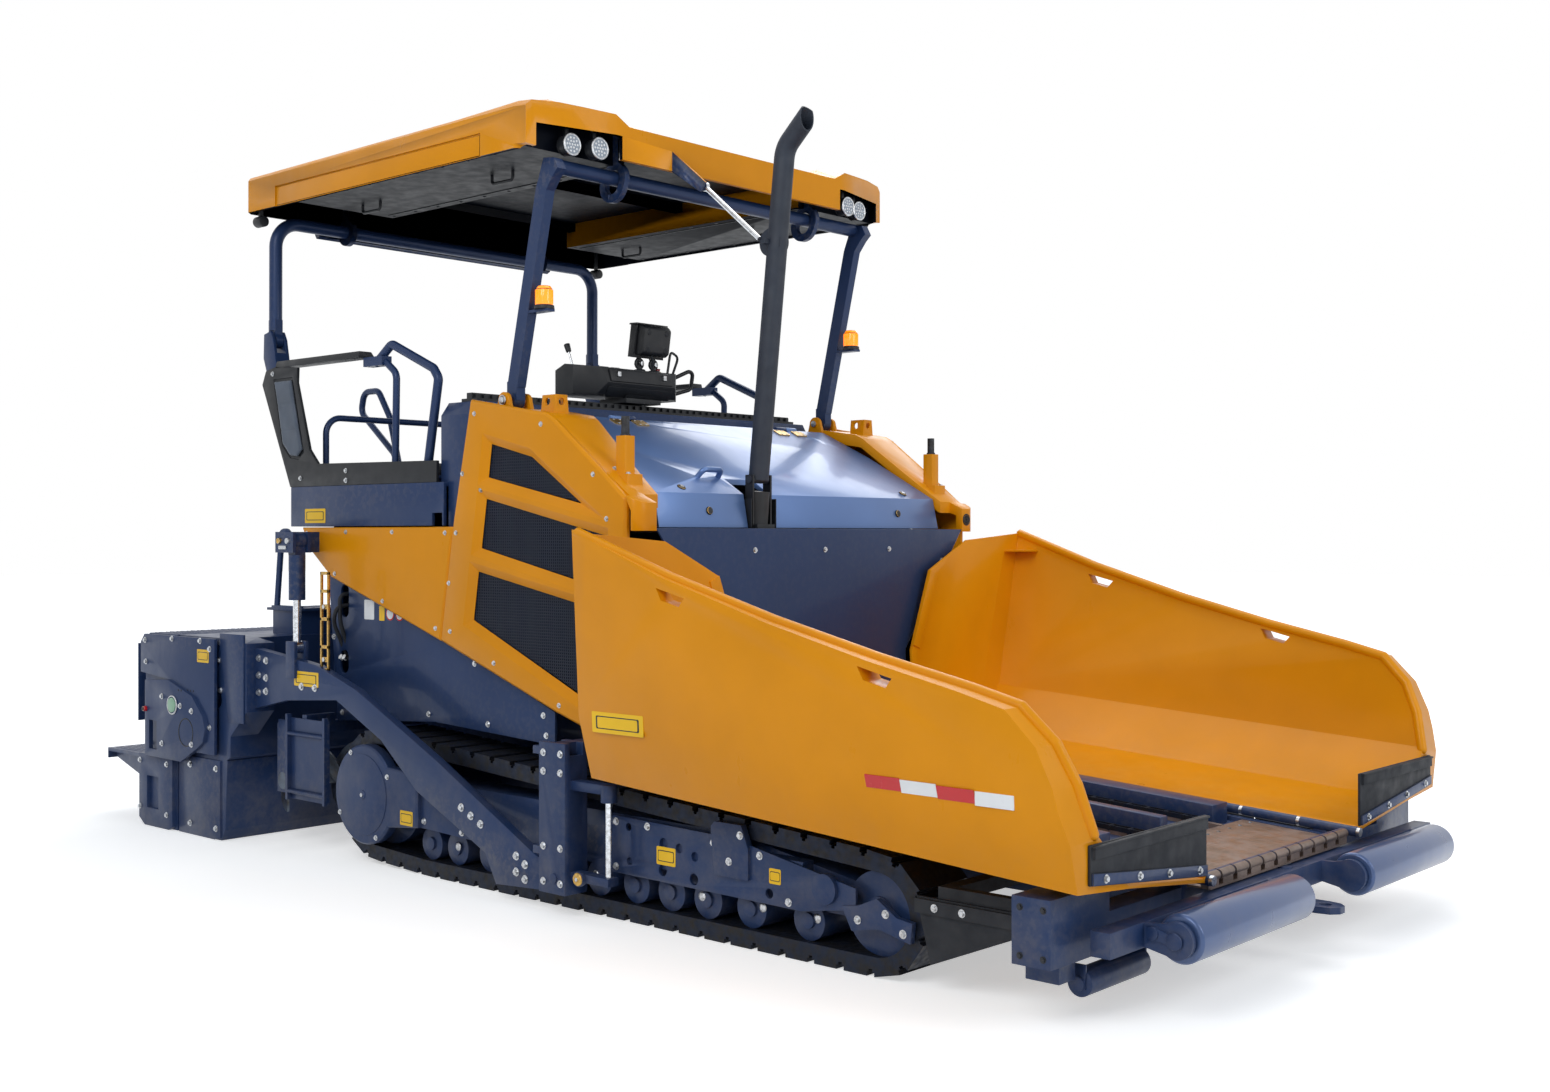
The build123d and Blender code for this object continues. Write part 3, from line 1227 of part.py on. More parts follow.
guide_tubes = {-1: ((-2300, 600), (-2300, 900)), 1: ((-2140, 750), (-2440, 750))}
with BuildPart() as screed_box:
    half = screed_half - 6
    # sole and its heated box with the mouldboard, then the covered upper body
    plate_xz(
        ((-2092, 0), (main_rear_x, 0), (main_rear_x, 430), (-2030, 430), (-2040, 300), (-2052, 60)), -half, half,
    )
    plate_xz(
        ((-2162, 430), (main_rear_x, 430), (main_rear_x, screed_top_z), (screed_front_x, screed_top_z),
         (screed_front_x, 450), (-2040, 430)),
        -half, half,
    )
    for sign in SIGNS:
        y_in, y_out = sign * (arm_y - 90), sign * half
        plate_xz(
            ((screed_front_x, 560), (screed_front_x, screed_top_z), (arm_rear_x, 1060), (arm_rear_x, 700)), y_in, y_out,
        )
        # plate on the arm's rear end, standing up over the screed
        plate_xz(
            ((arm_rear_x - 12, 640), (arm_rear_x - 12, screed_top_z + 26), (arm_rear_x - 250, screed_top_z + 26),
             (arm_rear_x - 250, screed_top_z - 30), (arm_rear_x - 160, 640)),
            y_out - sign, y_out + sign * 10,
        )
        # end plate of the sole with its bent front corner
        plate_xz(
            ((-2092, 12), (-2150, 0), (main_rear_x + 8, 0), (main_rear_x + 8, 425), (-2092, 425)),
            y_out - sign, y_out + sign * 10,
        )
        # step plates and the bow that the operator holds when climbing over
        block((-2300, -2060), (sign * 360, sign * 1060), (screed_top_z, screed_top_z + 130))
        block((-2330, -2030), (sign * 340, sign * 1080), (screed_top_z + 130, screed_top_z + 145))
        bow_foot_z = screed_top_z + 150
        bow_y = sign * 1040
        bent_tube(
            ((-2290, bow_y, bow_foot_z), (-2240, bow_y, bow_foot_z + 420), (-2170, bow_y, bow_foot_z + 420),
             (-2080, bow_y, bow_foot_z)),
            28, 34,
        )
        block((-2310, -2060), (bow_y - 24, bow_y + 24), (screed_top_z + 144, screed_top_z + 156))
        for tube_x, tube_z in guide_tubes[sign]:
            rod((tube_x, -half - 15, tube_z), (tube_x, half + 15, tube_z), 101, mode=Mode.SUBTRACT)
keep(screed_box.part, "screed_box")

end_rear_x = extension_rear_x + 28
upper_end = (
    (end_rear_x, 860), (end_rear_x, screed_top_z - 50), (end_rear_x + 42, screed_top_z - 5),
    (-2104, screed_top_z - 5), (-2104, 456), (-2500, 456), (-2560, 830),
)
gear_cover = (
    (end_rear_x + 90, 400), (end_rear_x + 90, 820), (-2560, 835), (-2300, 760), (-2190, 660),
    (-2162, 590), (-2185, 520), (-2250, 480), (-2420, 396),
)
lower_end = ((end_rear_x - 30, 40), (end_rear_x - 30, 400), (-2560, 400), (-2560, 20), (-2600, 0), (-2870, 0))
for side, sign in SIDES:
    with BuildPart() as extension:
        y_in, y_out = sign * 12, sign * screed_half
        end_far = y_out + sign * 30
        front_x = main_rear_x - extension_gap
        block((extension_rear_x, front_x), (y_in, y_out), (0, 400))
        plate_xz(
            (
                (extension_rear_x + 30, 400), (extension_rear_x + 30, screed_top_z - 46),
                (extension_rear_x + 74, screed_top_z), (front_x, screed_top_z), (front_x, 400),
            ),
            y_in, y_out,
        )
        # end plates: the upper one carries the guide tubes and the cover of the width drive
        plate_xz(upper_end, y_out + sign * 12, end_far)
        block((front_x - 60, front_x), (y_out - sign, y_out + sign * 13), (456, screed_top_z - 5))
        plate_xz(gear_cover, end_far - sign, end_far + sign * 22)
        block((end_rear_x + 138, end_rear_x + 222), (y_out + sign * 11, end_far + sign * 23), (440, 600),
              mode=Mode.SUBTRACT)
        rod((-2500, end_far, 700), (-2500, end_far + sign * 28, 700), 104)
        plate_xz(lower_end, y_out - sign, end_far - sign * 6)
        block((end_rear_x + 60, end_rear_x + 190), (y_out + sign, end_far), (100, 280), mode=Mode.SUBTRACT)
        for tube_x, tube_z in guide_tubes[sign]:
            rod((tube_x, y_out, tube_z), (tube_x, -sign * 1300, tube_z), 100)
            rod((tube_x, y_out, tube_z), (tube_x, y_out + sign * 13, tube_z), 100)
        # flap behind, on two arms
        block((extension_rear_x - 62, extension_rear_x - 52), (sign * (screed_half - 320), y_out), (576, 1015))
        for z in (650, 900):
            block((extension_rear_x - 54, extension_rear_x + 34), (sign * (screed_half - 200), sign * (screed_half - 170)),
                  (z, z + 40))
        # walkway with a bent edge, on brackets
        block((-3432, extension_rear_x), (sign * 20, sign * (screed_half - 40)), (360, 380))
        block((-3432, -3422), (sign * 20, sign * (screed_half - 40)), (320, 380))
        for y in (60, 760, 1420):
            plate_xz(
                ((extension_rear_x, 200), (extension_rear_x, 361), (-3380, 361), (-3380, 330)), sign * y, sign * (y + 12),
            )
    keep(extension.part, f"extension_{side}")

flight_turns = 4
for side, sign in SIDES:
    with BuildPart() as auger:
        inner_y, outer_y = sign * 32, sign * 1350
        rod((auger_x, inner_y, auger_z), (auger_x, outer_y, auger_z), 90)
        # screw flight, left hand on one side and right hand on the other
        flight_start = (auger_x, sign * 76, auger_z)
        with BuildLine() as spiral:
            Helix(pitch=auger_pitch, height=flight_turns * auger_pitch, radius=auger_radius, center=flight_start,
                  direction=(0, sign, 0), lefthand=sign > 0)
        start = spiral.line @ 0
        radial = (start - Vector(*flight_start)).normalized()
        with BuildSketch(Plane(origin=start, x_dir=radial, z_dir=spiral.line % 0)) as blade:
            with Locations(((38 - auger_radius) / 2, 0)):
                Rectangle(auger_radius - 38, 12)
        sweep(blade.sketch, path=spiral.line, is_frenet=True)
    keep(auger.part, f"auger_{side}")

with BuildPart() as auger_carrier:
    # middle gear case and outer bearings hang from a frame round the conveyors' outlet
    block((auger_x - 60, auger_x + 60), (-50, 50), (240, carrier_top_z))
    block((auger_x, frame_rear_x - 100), (-50, 50), (carrier_low_z, carrier_top_z))
    block((frame_rear_x - 140, frame_rear_x), (-frame_half, frame_half), (carrier_low_z, carrier_top_z))
    for sign in SIGNS:
        block((frame_rear_x - 140, frame_rear_x),
              (sign * (frame_half - frame_wall), sign * frame_half), (tunnel_floor_z + 40, carrier_top_z))
        block((auger_x - 50, auger_x + 50), (sign * 1332, sign * 1350), (280, 640))
        block((auger_x - 40, frame_rear_x), (sign * 1332, sign * 1350), (600, 660))
        block((frame_rear_x - 60, frame_rear_x), (sign * frame_half, sign * 1350), (600, 660))
        # guard plate beside the auger with two rungs standing off it
        block((-1650, -1290), (sign * 1352, sign * 1360), (260, 680))
        for x in (-1650, -1310):
            block((x, x + 20), (sign * 1359, sign * 1384), (255, 700))
        for z in (300, 600):
            rod((-1640, sign * 1374, z), (-1300, sign * 1374, z), 22)
        block((-1540, -1500), (sign * 1180, sign * 1352), (640, 700))
        for y_from, y_to in ((30, 60), (1325, 1355)):
            rod((auger_x, sign * y_from, auger_z), (auger_x, sign * y_to, auger_z), 91, mode=Mode.SUBTRACT)
keep(auger_carrier.part, "auger_carrier")

# ---------------------------------------------------------------- lift cylinders
barrel_low_z = 1297
with BuildPart() as lift_brackets:
    for sign in SIGNS:
        for y in (arm_y - 52, arm_y + 34):
            block((lift_x - 110, lift_x + 45), (sign * y, sign * (y + 18)), (1540, 1646))
        block((lift_x - 120, lift_x - 60), (sign * body_half, sign * (arm_y + 52)), (1540, 1646))
        rod((lift_x, sign * (arm_y - 50), lift_head_z), (lift_x, sign * (arm_y + 50), lift_head_z), 34)
keep(lift_brackets.part, "lift_brackets")

for side, sign in SIDES:
    y = sign * arm_y
    with BuildPart() as barrel:
        rod((lift_x, y, barrel_low_z), (lift_x, y, lift_head_z - 72), 84)
        block((lift_x - 30, lift_x + 30), (y - 30, y + 30), (lift_head_z - 80, lift_head_z))
        rod((lift_x, y - 30, lift_head_z), (lift_x, y + 30, lift_head_z), 84)
        rod((lift_x, y - 60, lift_head_z), (lift_x, y + 60, lift_head_z), 35, mode=Mode.SUBTRACT)
        rod((lift_x, y, barrel_low_z - 10), (lift_x, y, lift_head_z - 60), 41, mode=Mode.SUBTRACT)
    keep(barrel.part, f"lift_barrel_{side}")
    with BuildPart() as piston_rod:
        rod((lift_x, y, lift_foot_z), (lift_x, y, barrel_low_z + 30), 40)
        rod((lift_x, y - 20, lift_foot_z), (lift_x, y + 20, lift_foot_z), 64)
    keep(piston_rod.part, f"lift_rod_{side}")
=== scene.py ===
"""Looks of the tracked asphalt paver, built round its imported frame.

Laid out as an add-on: settings, one operator for each group of pieces, one for the
stage, and a panel in the sidebar.  Lengths are metres: +X forward, +Y left, +Z up.
"""

import json
import math

import bmesh
import bpy
from mathutils import Matrix, Vector
from mathutils.bvhtree import BVHTree

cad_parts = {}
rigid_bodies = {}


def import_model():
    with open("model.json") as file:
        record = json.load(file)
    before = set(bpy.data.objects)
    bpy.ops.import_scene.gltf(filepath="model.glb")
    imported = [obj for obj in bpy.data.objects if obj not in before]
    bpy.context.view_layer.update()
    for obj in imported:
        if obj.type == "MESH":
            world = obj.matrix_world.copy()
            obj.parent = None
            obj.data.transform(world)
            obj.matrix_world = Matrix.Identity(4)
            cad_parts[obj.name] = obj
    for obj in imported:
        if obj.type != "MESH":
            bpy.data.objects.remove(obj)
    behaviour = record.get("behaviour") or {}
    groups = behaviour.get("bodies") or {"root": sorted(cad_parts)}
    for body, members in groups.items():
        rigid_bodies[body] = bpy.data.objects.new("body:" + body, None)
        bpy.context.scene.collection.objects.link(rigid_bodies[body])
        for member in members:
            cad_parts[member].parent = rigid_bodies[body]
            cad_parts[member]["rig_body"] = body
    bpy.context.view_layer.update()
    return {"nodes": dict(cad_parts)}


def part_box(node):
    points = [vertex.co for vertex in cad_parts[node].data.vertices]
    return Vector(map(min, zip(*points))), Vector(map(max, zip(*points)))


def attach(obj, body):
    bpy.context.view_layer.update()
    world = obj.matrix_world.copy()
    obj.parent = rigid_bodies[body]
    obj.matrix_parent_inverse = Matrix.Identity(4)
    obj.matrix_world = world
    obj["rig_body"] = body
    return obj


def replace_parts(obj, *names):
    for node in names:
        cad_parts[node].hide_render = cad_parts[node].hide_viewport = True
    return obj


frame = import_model()
SIDES = (("right", -1), ("left", 1))  # side of the machine, and which way it lies along Y
SIGNS = (-1, 1)
SINK = 0.0006  # how far a fitting is set into the surface that it stands on
BOLT_TURN = (0.3, 0.5, 0.8)  # which way a bolt's first corner points

bl_info = {
    "name": "Asphalt paver looks",
    "version": (1, 0, 0),
    "blender": (4, 5, 0),
    "location": "View3D > Sidebar > Paver",
    "description": "Paints and dresses the tracked asphalt paver",
    "category": "Object",
}


def srgb(code):
    """Scene-linear RGB of a colour written as RRGGBB."""
    parts = [int(code[i:i + 2], 16) / 255 for i in (0, 2, 4)]
    return tuple(p / 12.92 if p < 0.04045 else ((p + 0.055) / 1.055) ** 2.4 for p in parts)


def colour(name, description, code):
    return bpy.props.FloatVectorProperty(
        name=name, description=description, subtype="COLOR", size=3, min=0, max=1, default=srgb(code)
    )


def length(name, description, default):
    return bpy.props.FloatProperty(
        name=name, description=description, default=default, unit="LENGTH", subtype="DISTANCE", precision=4
    )


class PaverColours(bpy.types.PropertyGroup):
    """Paints and other colours of the machine."""

    body: colour("Body yellow", "Gloss paint of the wings, panels and roof", "DE8F05")
    frame: colour("Frame slate", "Dark blue-grey paint of the frame and screed", "22365C")
    # lighter and bluer than the frame's slate, so that with the hood's metallic share its reflections come back blue:
    # painted sky reflection on slate paint
    hood: colour("Hood slate", "Glossier slate paint of the hood", "5E7BAE")
    track: colour("Track", "Oily steel of tracks and rollers", "1B2231")
    rubber: colour("Rubber", "Flaps and lips", "191C22")
    plastic: colour("Plastic", "Console, side boards and rail", "14171C")
    pipe: colour("Exhaust", "Heat-proof paint of the exhaust", "252C38")
    lining: colour("Lining", "Dark lining under the roof", "0B0F18")
    bare: colour("Bare plate", "Brown bare plate at the hopper's mouth", "7A6A62")
    label: colour("Sticker", "Blank yellow stickers", "F2C11B")
    red: colour("Red", "Reflector bars and buttons", "C8141E")
    white: colour("White", "Reflector bars", "E6E8EA")
    amber: colour("Amber", "Beacon lenses", "FF8A0A")


class PaverSizes(bpy.types.PropertyGroup):
    """Sizes that may be changed."""

    edge: length("Edge radius", "Rounding of the sheet metal's edges", 0.003)
    bolt: length("Bolt head radius", "Radius of a usual bolt head", 0.013)
    wire: length("Mesh wire", "Width of the wires behind the side grilles", 0.0042)
    pitch: length("Mesh pitch", "Distance between the wires behind the side grilles", 0.0135)
    voxel: length("Cushion grain", "Size of the cells that a cushion is remeshed to", 0.006)
    swell: length("Cushion swell", "Furthest that a cushion's skin may move", 0.014)


class PaverStage(bpy.types.PropertyGroup):
    """Camera and lamps."""

    eye: bpy.props.FloatVectorProperty(
        name="Eye", description="Place of the camera", size=3, default=(5.9875, -6.1, 1.63), subtype="XYZ"
    )
    heading: bpy.props.FloatProperty(
        name="Heading", description="Turn of the camera about the vertical",
        default=math.radians(41.8), subtype="ANGLE",
    )
    lens: bpy.props.FloatProperty(name="Lens", description="Focal length in mm", default=38.39)
    rise: bpy.props.FloatProperty(name="Rise", description="Vertical shift of the lens", default=-11 / 1550)
    sky: bpy.props.FloatProperty(name="Sky", description="Strength of the soft light all round", default=0.42)
    lamps: bpy.props.FloatProperty(name="Lamps", description="Share of the lamps' full power", default=0.64)


# ---------------------------------------------------------------- materials
class Graph:
    """A node tree, with short calls that add and join nodes."""

    def add(self, kind, inputs=None, **settings):
        node = self.tree.nodes.new(kind)
        for key, value in settings.items():
            setattr(node, key, value)
        for key, value in (inputs or {}).items():
            for one in value if isinstance(value, list) else [value]:
                self.set(node, key, one)
        return node

    def set(self, node, key, value):
        socket = node.inputs[key]
        if isinstance(value, bpy.types.NodeSocket):
            self.tree.links.new(value, socket)
        elif isinstance(value, bpy.types.Node):
            self.tree.links.new(value.outputs[0], socket)
        else:
            socket.default_value = value


class Nodes(Graph):
    """A material's tree, from its shader to its output."""

    def __init__(self, name):
        old = bpy.data.materials.get(name)
        if old:
            bpy.data.materials.remove(old)
        self.material = bpy.data.materials.new(name)
        self.material.use_nodes = True
        self.tree = self.material.node_tree
        self.tree.nodes.clear()
        self.out = self.add("ShaderNodeOutputMaterial")
        self.shader = self.add("ShaderNodeBsdfPrincipled")
        self.set(self.out, 0, self.shader)

    def look(self, **values):
        for key, value in values.items():
            self.set(self.shader, key.replace("_", " ").title().replace("Ior", "IOR"), value)

    def place(self, scale=(1, 1, 1)):
        """Object coordinates, stretched by scale."""
        coords = self.add("ShaderNodeTexCoord")
        return self.add("ShaderNodeMapping", {"Vector": coords.outputs["Object"], "Scale": scale}).outputs[0]

    def noise(self, scale, detail=3.0, roughness=0.5, stretch=(1, 1, 1)):
        return self.add(
            "ShaderNodeTexNoise",
            {"Vector": self.place(stretch), "Scale": scale, "Detail": detail, "Roughness": roughness},
        ).outputs["Fac"]

    def ramp(self, value, low, high, start=0.0, end=1.0):
        """Value mapped from low..high to start..end."""
        return self.add(
            "ShaderNodeMapRange",
            {"Value": value, "From Min": low, "From Max": high, "To Min": start, "To Max": end},
        ).outputs[0]

    def mix(self, share, first, second):
        """Two colours mixed; a plain colour is RGB."""
        node = self.add("ShaderNodeMix", {0: share}, data_type="RGBA")
        for socket, value in ((6, first), (7, second)):
            self.set(node, socket, (*value, 1) if isinstance(value, tuple) else value)
        return node.outputs[2]

    def math(self, operation, *values):
        node = self.add("ShaderNodeMath", operation=operation)
        for index, value in enumerate(values):
            self.set(node, index, value)
        return node.outputs[0]

    def bump(self, height, strength, distance):
        inputs = {"Height": height, "Strength": strength, "Distance": distance}
        return self.add("ShaderNodeBump", inputs).outputs[0]

    def height(self):
        return self.add("ShaderNodeSeparateXYZ", {"Vector": self.place()}).outputs[2]


def shade(rgb, factor):
    return tuple(min(1.0, c * factor) for c in rgb)


def paint(name, rgb, roughness, coat, wear=0.0, dust=0.25, metallic=0.0, specular=0.22, smears=0.2):
    """Sprayed paint: faint cloudiness, orange peel, chipped edges, dust low down."""
    n = Nodes(name)
    base = n.mix(n.ramp(n.noise(2.2, 4), 0.3, 0.7), shade(rgb, 0.93), shade(rgb, 1.06))
    if wear:
        pointed = n.add("ShaderNodeNewGeometry").outputs["Pointiness"]
        chips = n.math("MULTIPLY", n.ramp(pointed, 0.53, 0.62), n.ramp(n.noise(38, 6), 0.48, 0.62))
        base = n.mix(n.math("MULTIPLY", chips, wear), base, (0.16, 0.15, 0.145))
    if dust:
        low = n.ramp(n.height(), 0.75, 0.05)
        speckle = n.math("MULTIPLY", low, n.ramp(n.noise(7, 8, 0.65), 0.42, 0.72))
        base = n.mix(n.math("MULTIPLY", speckle, dust), base, (0.23, 0.20, 0.165))
    n.look(base_color=base, coat_weight=coat, coat_roughness=0.09, metallic=metallic)
    n.look(specular_ior_level=specular)
    smear = n.noise(9, 5, 0.6, (1, 1, 0.4))
    n.look(roughness=n.ramp(smear, 0.3, 0.7, roughness * (1 - smears), roughness * (1 + smears)))
    n.look(normal=n.bump(n.noise(150, 2), 0.06, 0.0008))
    return n.material


def steel(name, rgb, roughness, metallic=0.85, scale=24.0, grime=(0.02, 0.018, 0.016)):
    """Worn or greasy steel, with darker grime in patches and fine scratches."""
    n = Nodes(name)
    base = n.mix(n.ramp(n.noise(scale, 8, 0.62), 0.42, 0.66), shade(rgb, 1.15), grime)
    scratches = n.ramp(n.noise(scale * 3, 6, 0.7, (1, 0.12, 1)), 0.56, 0.7, 0.0, 0.35)
    n.look(base_color=n.mix(scratches, base, shade(rgb, 1.8)), metallic=metallic)
    n.look(roughness=n.ramp(n.noise(scale * 1.7, 6), 0.3, 0.7, roughness * 0.75, min(1.0, roughness * 1.3)))
    n.look(normal=n.bump(n.noise(scale * 5, 4), 0.18, 0.0012))
    return n.material


def moulded(name, rgb, roughness, grain=420.0, strength=0.12, sheen=0.0, specular=0.4):
    """Moulded plastic, rubber or leather cloth with a fine grain."""
    n = Nodes(name)
    n.look(base_color=n.mix(n.ramp(n.noise(6, 5), 0.3, 0.7), shade(rgb, 0.85), shade(rgb, 1.25)))
    n.look(roughness=n.ramp(n.noise(16, 4), 0.3, 0.7, roughness * 0.85, min(1.0, roughness * 1.15)))
    n.look(normal=n.bump(n.noise(grain, 3), strength, 0.0006), sheen_weight=sheen)
    n.look(specular_ior_level=specular)
    return n.material


def lit(name, rgb, strength, roughness=0.12):
    """A lens with a lamp behind it."""
    n = Nodes(name)
    glow = n.ramp(n.noise(60, 2), 0.3, 0.7, 0.8, 1.15)
    n.look(base_color=n.mix(glow, shade(rgb, 0.85), rgb), roughness=roughness, coat_weight=0.6)
    n.look(emission_color=(*rgb, 1), emission_strength=strength)
    return n.material


def glazing(name, rgb, roughness=0.05):
    """Dark glass of a screen or a tinted pane."""
    n = Nodes(name)
    n.look(base_color=n.mix(n.ramp(n.noise(3, 4), 0.3, 0.7), shade(rgb, 0.8), rgb))
    n.look(roughness=roughness, coat_weight=0.8, coat_roughness=0.03)
    return n.material


MATERIALS = {}


def make_materials(c):
    m = MATERIALS
    m["yellow"] = paint("body_yellow", tuple(c.body), 0.34, 0.10, 0.0, 0.18, 0.0, 0.14)
    m["slate"] = paint("frame_slate", tuple(c.frame), 0.42, 0.12, 0.25, 0.30, 0.15)
    # hood: slate paint lifted and turned blue, with a metallic share, so the white world reflects blue on it: painted
    # sky reflection
    m["hood"] = paint("hood_slate_painted_sky_reflection", tuple(c.hood), 0.36, 0.22, 0.0, 0.0, 0.40, 0.35, 0.06)
    m["track"] = steel("track_steel", tuple(c.track), 0.5, 0.7)
    m["roller"] = paint("roller_slate", srgb("3F5580"), 0.30, 0.35, 0.3, 0.15, 0.35, 0.4, 0.1)
    m["cast"] = steel("cast_iron", srgb("33363B"), 0.6, 0.6)
    m["bare"] = steel("bare_plate", tuple(c.bare), 0.42, 0.5, 9.0, (0.14, 0.10, 0.075))
    m["flight"] = steel("worn_flight", srgb("5B6470"), 0.4, 0.85, 12.0, (0.08, 0.07, 0.06))
    m["rubber"] = moulded("black_rubber", tuple(c.rubber), 0.72, 260.0, 0.2)
    m["plastic"] = moulded("black_plastic", tuple(c.plastic), 0.5)
    m["lining"] = moulded("roof_lining", tuple(c.lining), 0.42, 160.0, 0.08, 0.0, 0.05)
    # gloss black, used only as painted shade: in the roof's lamp recesses and on the sheets behind the side grilles
    m["gloss"] = glazing("painted_shade_gloss_black", srgb("15181E"), 0.16)
    m["mesh"] = paint("grille_black", srgb("20283A"), 0.45, 0.1, 0.0, 0.1)
    m["pipe"] = moulded("exhaust_paint", tuple(c.pipe), 0.6, 180.0, 0.15)
    m["chrome"] = steel("bright_rod", srgb("C9CDD2"), 0.16, 1.0, 60.0, (0.42, 0.43, 0.45))
    m["zinc"] = steel("zinc_bolt", srgb("B9BCC0"), 0.32, 1.0, 90.0, (0.30, 0.30, 0.30))
    m["brass"] = steel("yellow_zinc", srgb("C09A50"), 0.35, 1.0, 70.0, (0.30, 0.21, 0.09))
    m["amber"] = lit("amber_lens", tuple(c.amber), 1.1)
    m["lamp"] = lit("lamp_glass", srgb("8E99A6"), 0.05)
    m["screen"] = glazing("screen_glass", srgb("1D2A3C"), 0.08)
    m["label"] = paint("sticker_yellow", tuple(c.label), 0.4, 0.2, 0.0, 0.0)
    m["red"] = paint("reflector_red", tuple(c.red), 0.25, 0.6, 0.0, 0.0)
    m["white"] = paint("reflector_white", tuple(c.white), 0.28, 0.5, 0.0, 0.0)
    m["green"] = paint("pale_green", srgb("8FB89A"), 0.4, 0.3, 0.0, 0.0)
    m["vinyl"] = moulded("seat_vinyl", srgb("1E2127"), 0.55, 320.0, 0.35, 0.2)
    m["pad"] = moulded("grey_pad", srgb("4C5563"), 0.7, 300.0, 0.3, 0.3)


NODE_FINISH = {
    "yellow": ("side_panels", "rear_panels", "fenders", "wing_right", "wing_left", "canopy"),
    "slate": (
        "main_frame", "engine_deck", "conveyor_guards", "track_frames", "final_drives", "skirts", "back_wall",
        "platform", "dash_cabinet", "handrails", "rear_posts", "tow_guides", "front_beam", "auger_carrier",
        "lift_brackets", "rear_hoop", "front_hoop", "push_beam", "tow_arms", "screed_box", "extension_right",
        "extension_left", "lift_barrel_right", "lift_barrel_left",
    ),
    "hood": ("hood",),
    "roller": ("push_roller_right", "push_roller_left"),
    "cast": ("engine",),
    "bare": ("conveyors", "hopper_sill"),
    "flight": ("auger_right", "auger_left"),
    "track": ("track_right", "track_left"),
    "mesh": ("side_grilles",),
    "plastic": ("console_rail", "side_boards", "exhaust_socket", "console"),
    "vinyl": ("seats",),
    "rubber": ("flaps", "wing_lip_right", "wing_lip_left"),
    "pipe": ("exhaust",),
    "chrome": ("exhaust_strut", "lift_rod_right", "lift_rod_left"),
    "amber": ("beacons",),
    "lamp": ("roof_lamps",),
}


# ---------------------------------------------------------------- mesh helpers
def placed(name, data):
    """A new object in the scene."""
    piece = bpy.data.objects.new(name, data)
    bpy.context.scene.collection.objects.link(piece)
    return piece


def plain(piece):
    """The piece with its modifiers worked into its mesh."""
    graph = bpy.context.evaluated_depsgraph_get()
    mesh = bpy.data.meshes.new_from_object(piece.evaluated_get(graph))
    piece.modifiers.clear()
    piece.data = mesh
    return mesh


SURFACES = {}
VIEWS = {
    "right": (lambda a, b: (a, -4, b), (0, 1, 0)),
    "left": (lambda a, b: (a, 4, b), (0, -1, 0)),
    "front": (lambda a, b: (7, a, b), (-1, 0, 0)),
    "rear": (lambda a, b: (-6, a, b), (1, 0, 0)),
    "top": (lambda a, b: (a, b, 6), (0, 0, -1)),
    "under": (lambda a, b: (a, b, -1), (0, 0, 1)),
}


def touch(node, start, direction):
    """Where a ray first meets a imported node, and which way the surface faces there."""
    if node not in SURFACES:
        mesh = frame["nodes"][node].data
        corners, faces = [v.co for v in mesh.vertices], [p.vertices for p in mesh.polygons]
        SURFACES[node] = BVHTree.FromPolygons(corners, faces)
    spot, normal, _, _ = SURFACES[node].ray_cast(Vector(start), Vector(direction))
    if spot is None:
        raise ValueError(f"{node} isn't met from {tuple(start)}")
    return spot, normal if normal.dot(Vector(direction)) < 0 else -normal


def seen(node, view, a, b):
    """The node's surface where it is first met from a view; a and b are the view's two axes."""
    start, direction = VIEWS[view]
    return touch(node, start(a, b), direction)


def body_of(node):
    return frame["nodes"][node]["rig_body"]


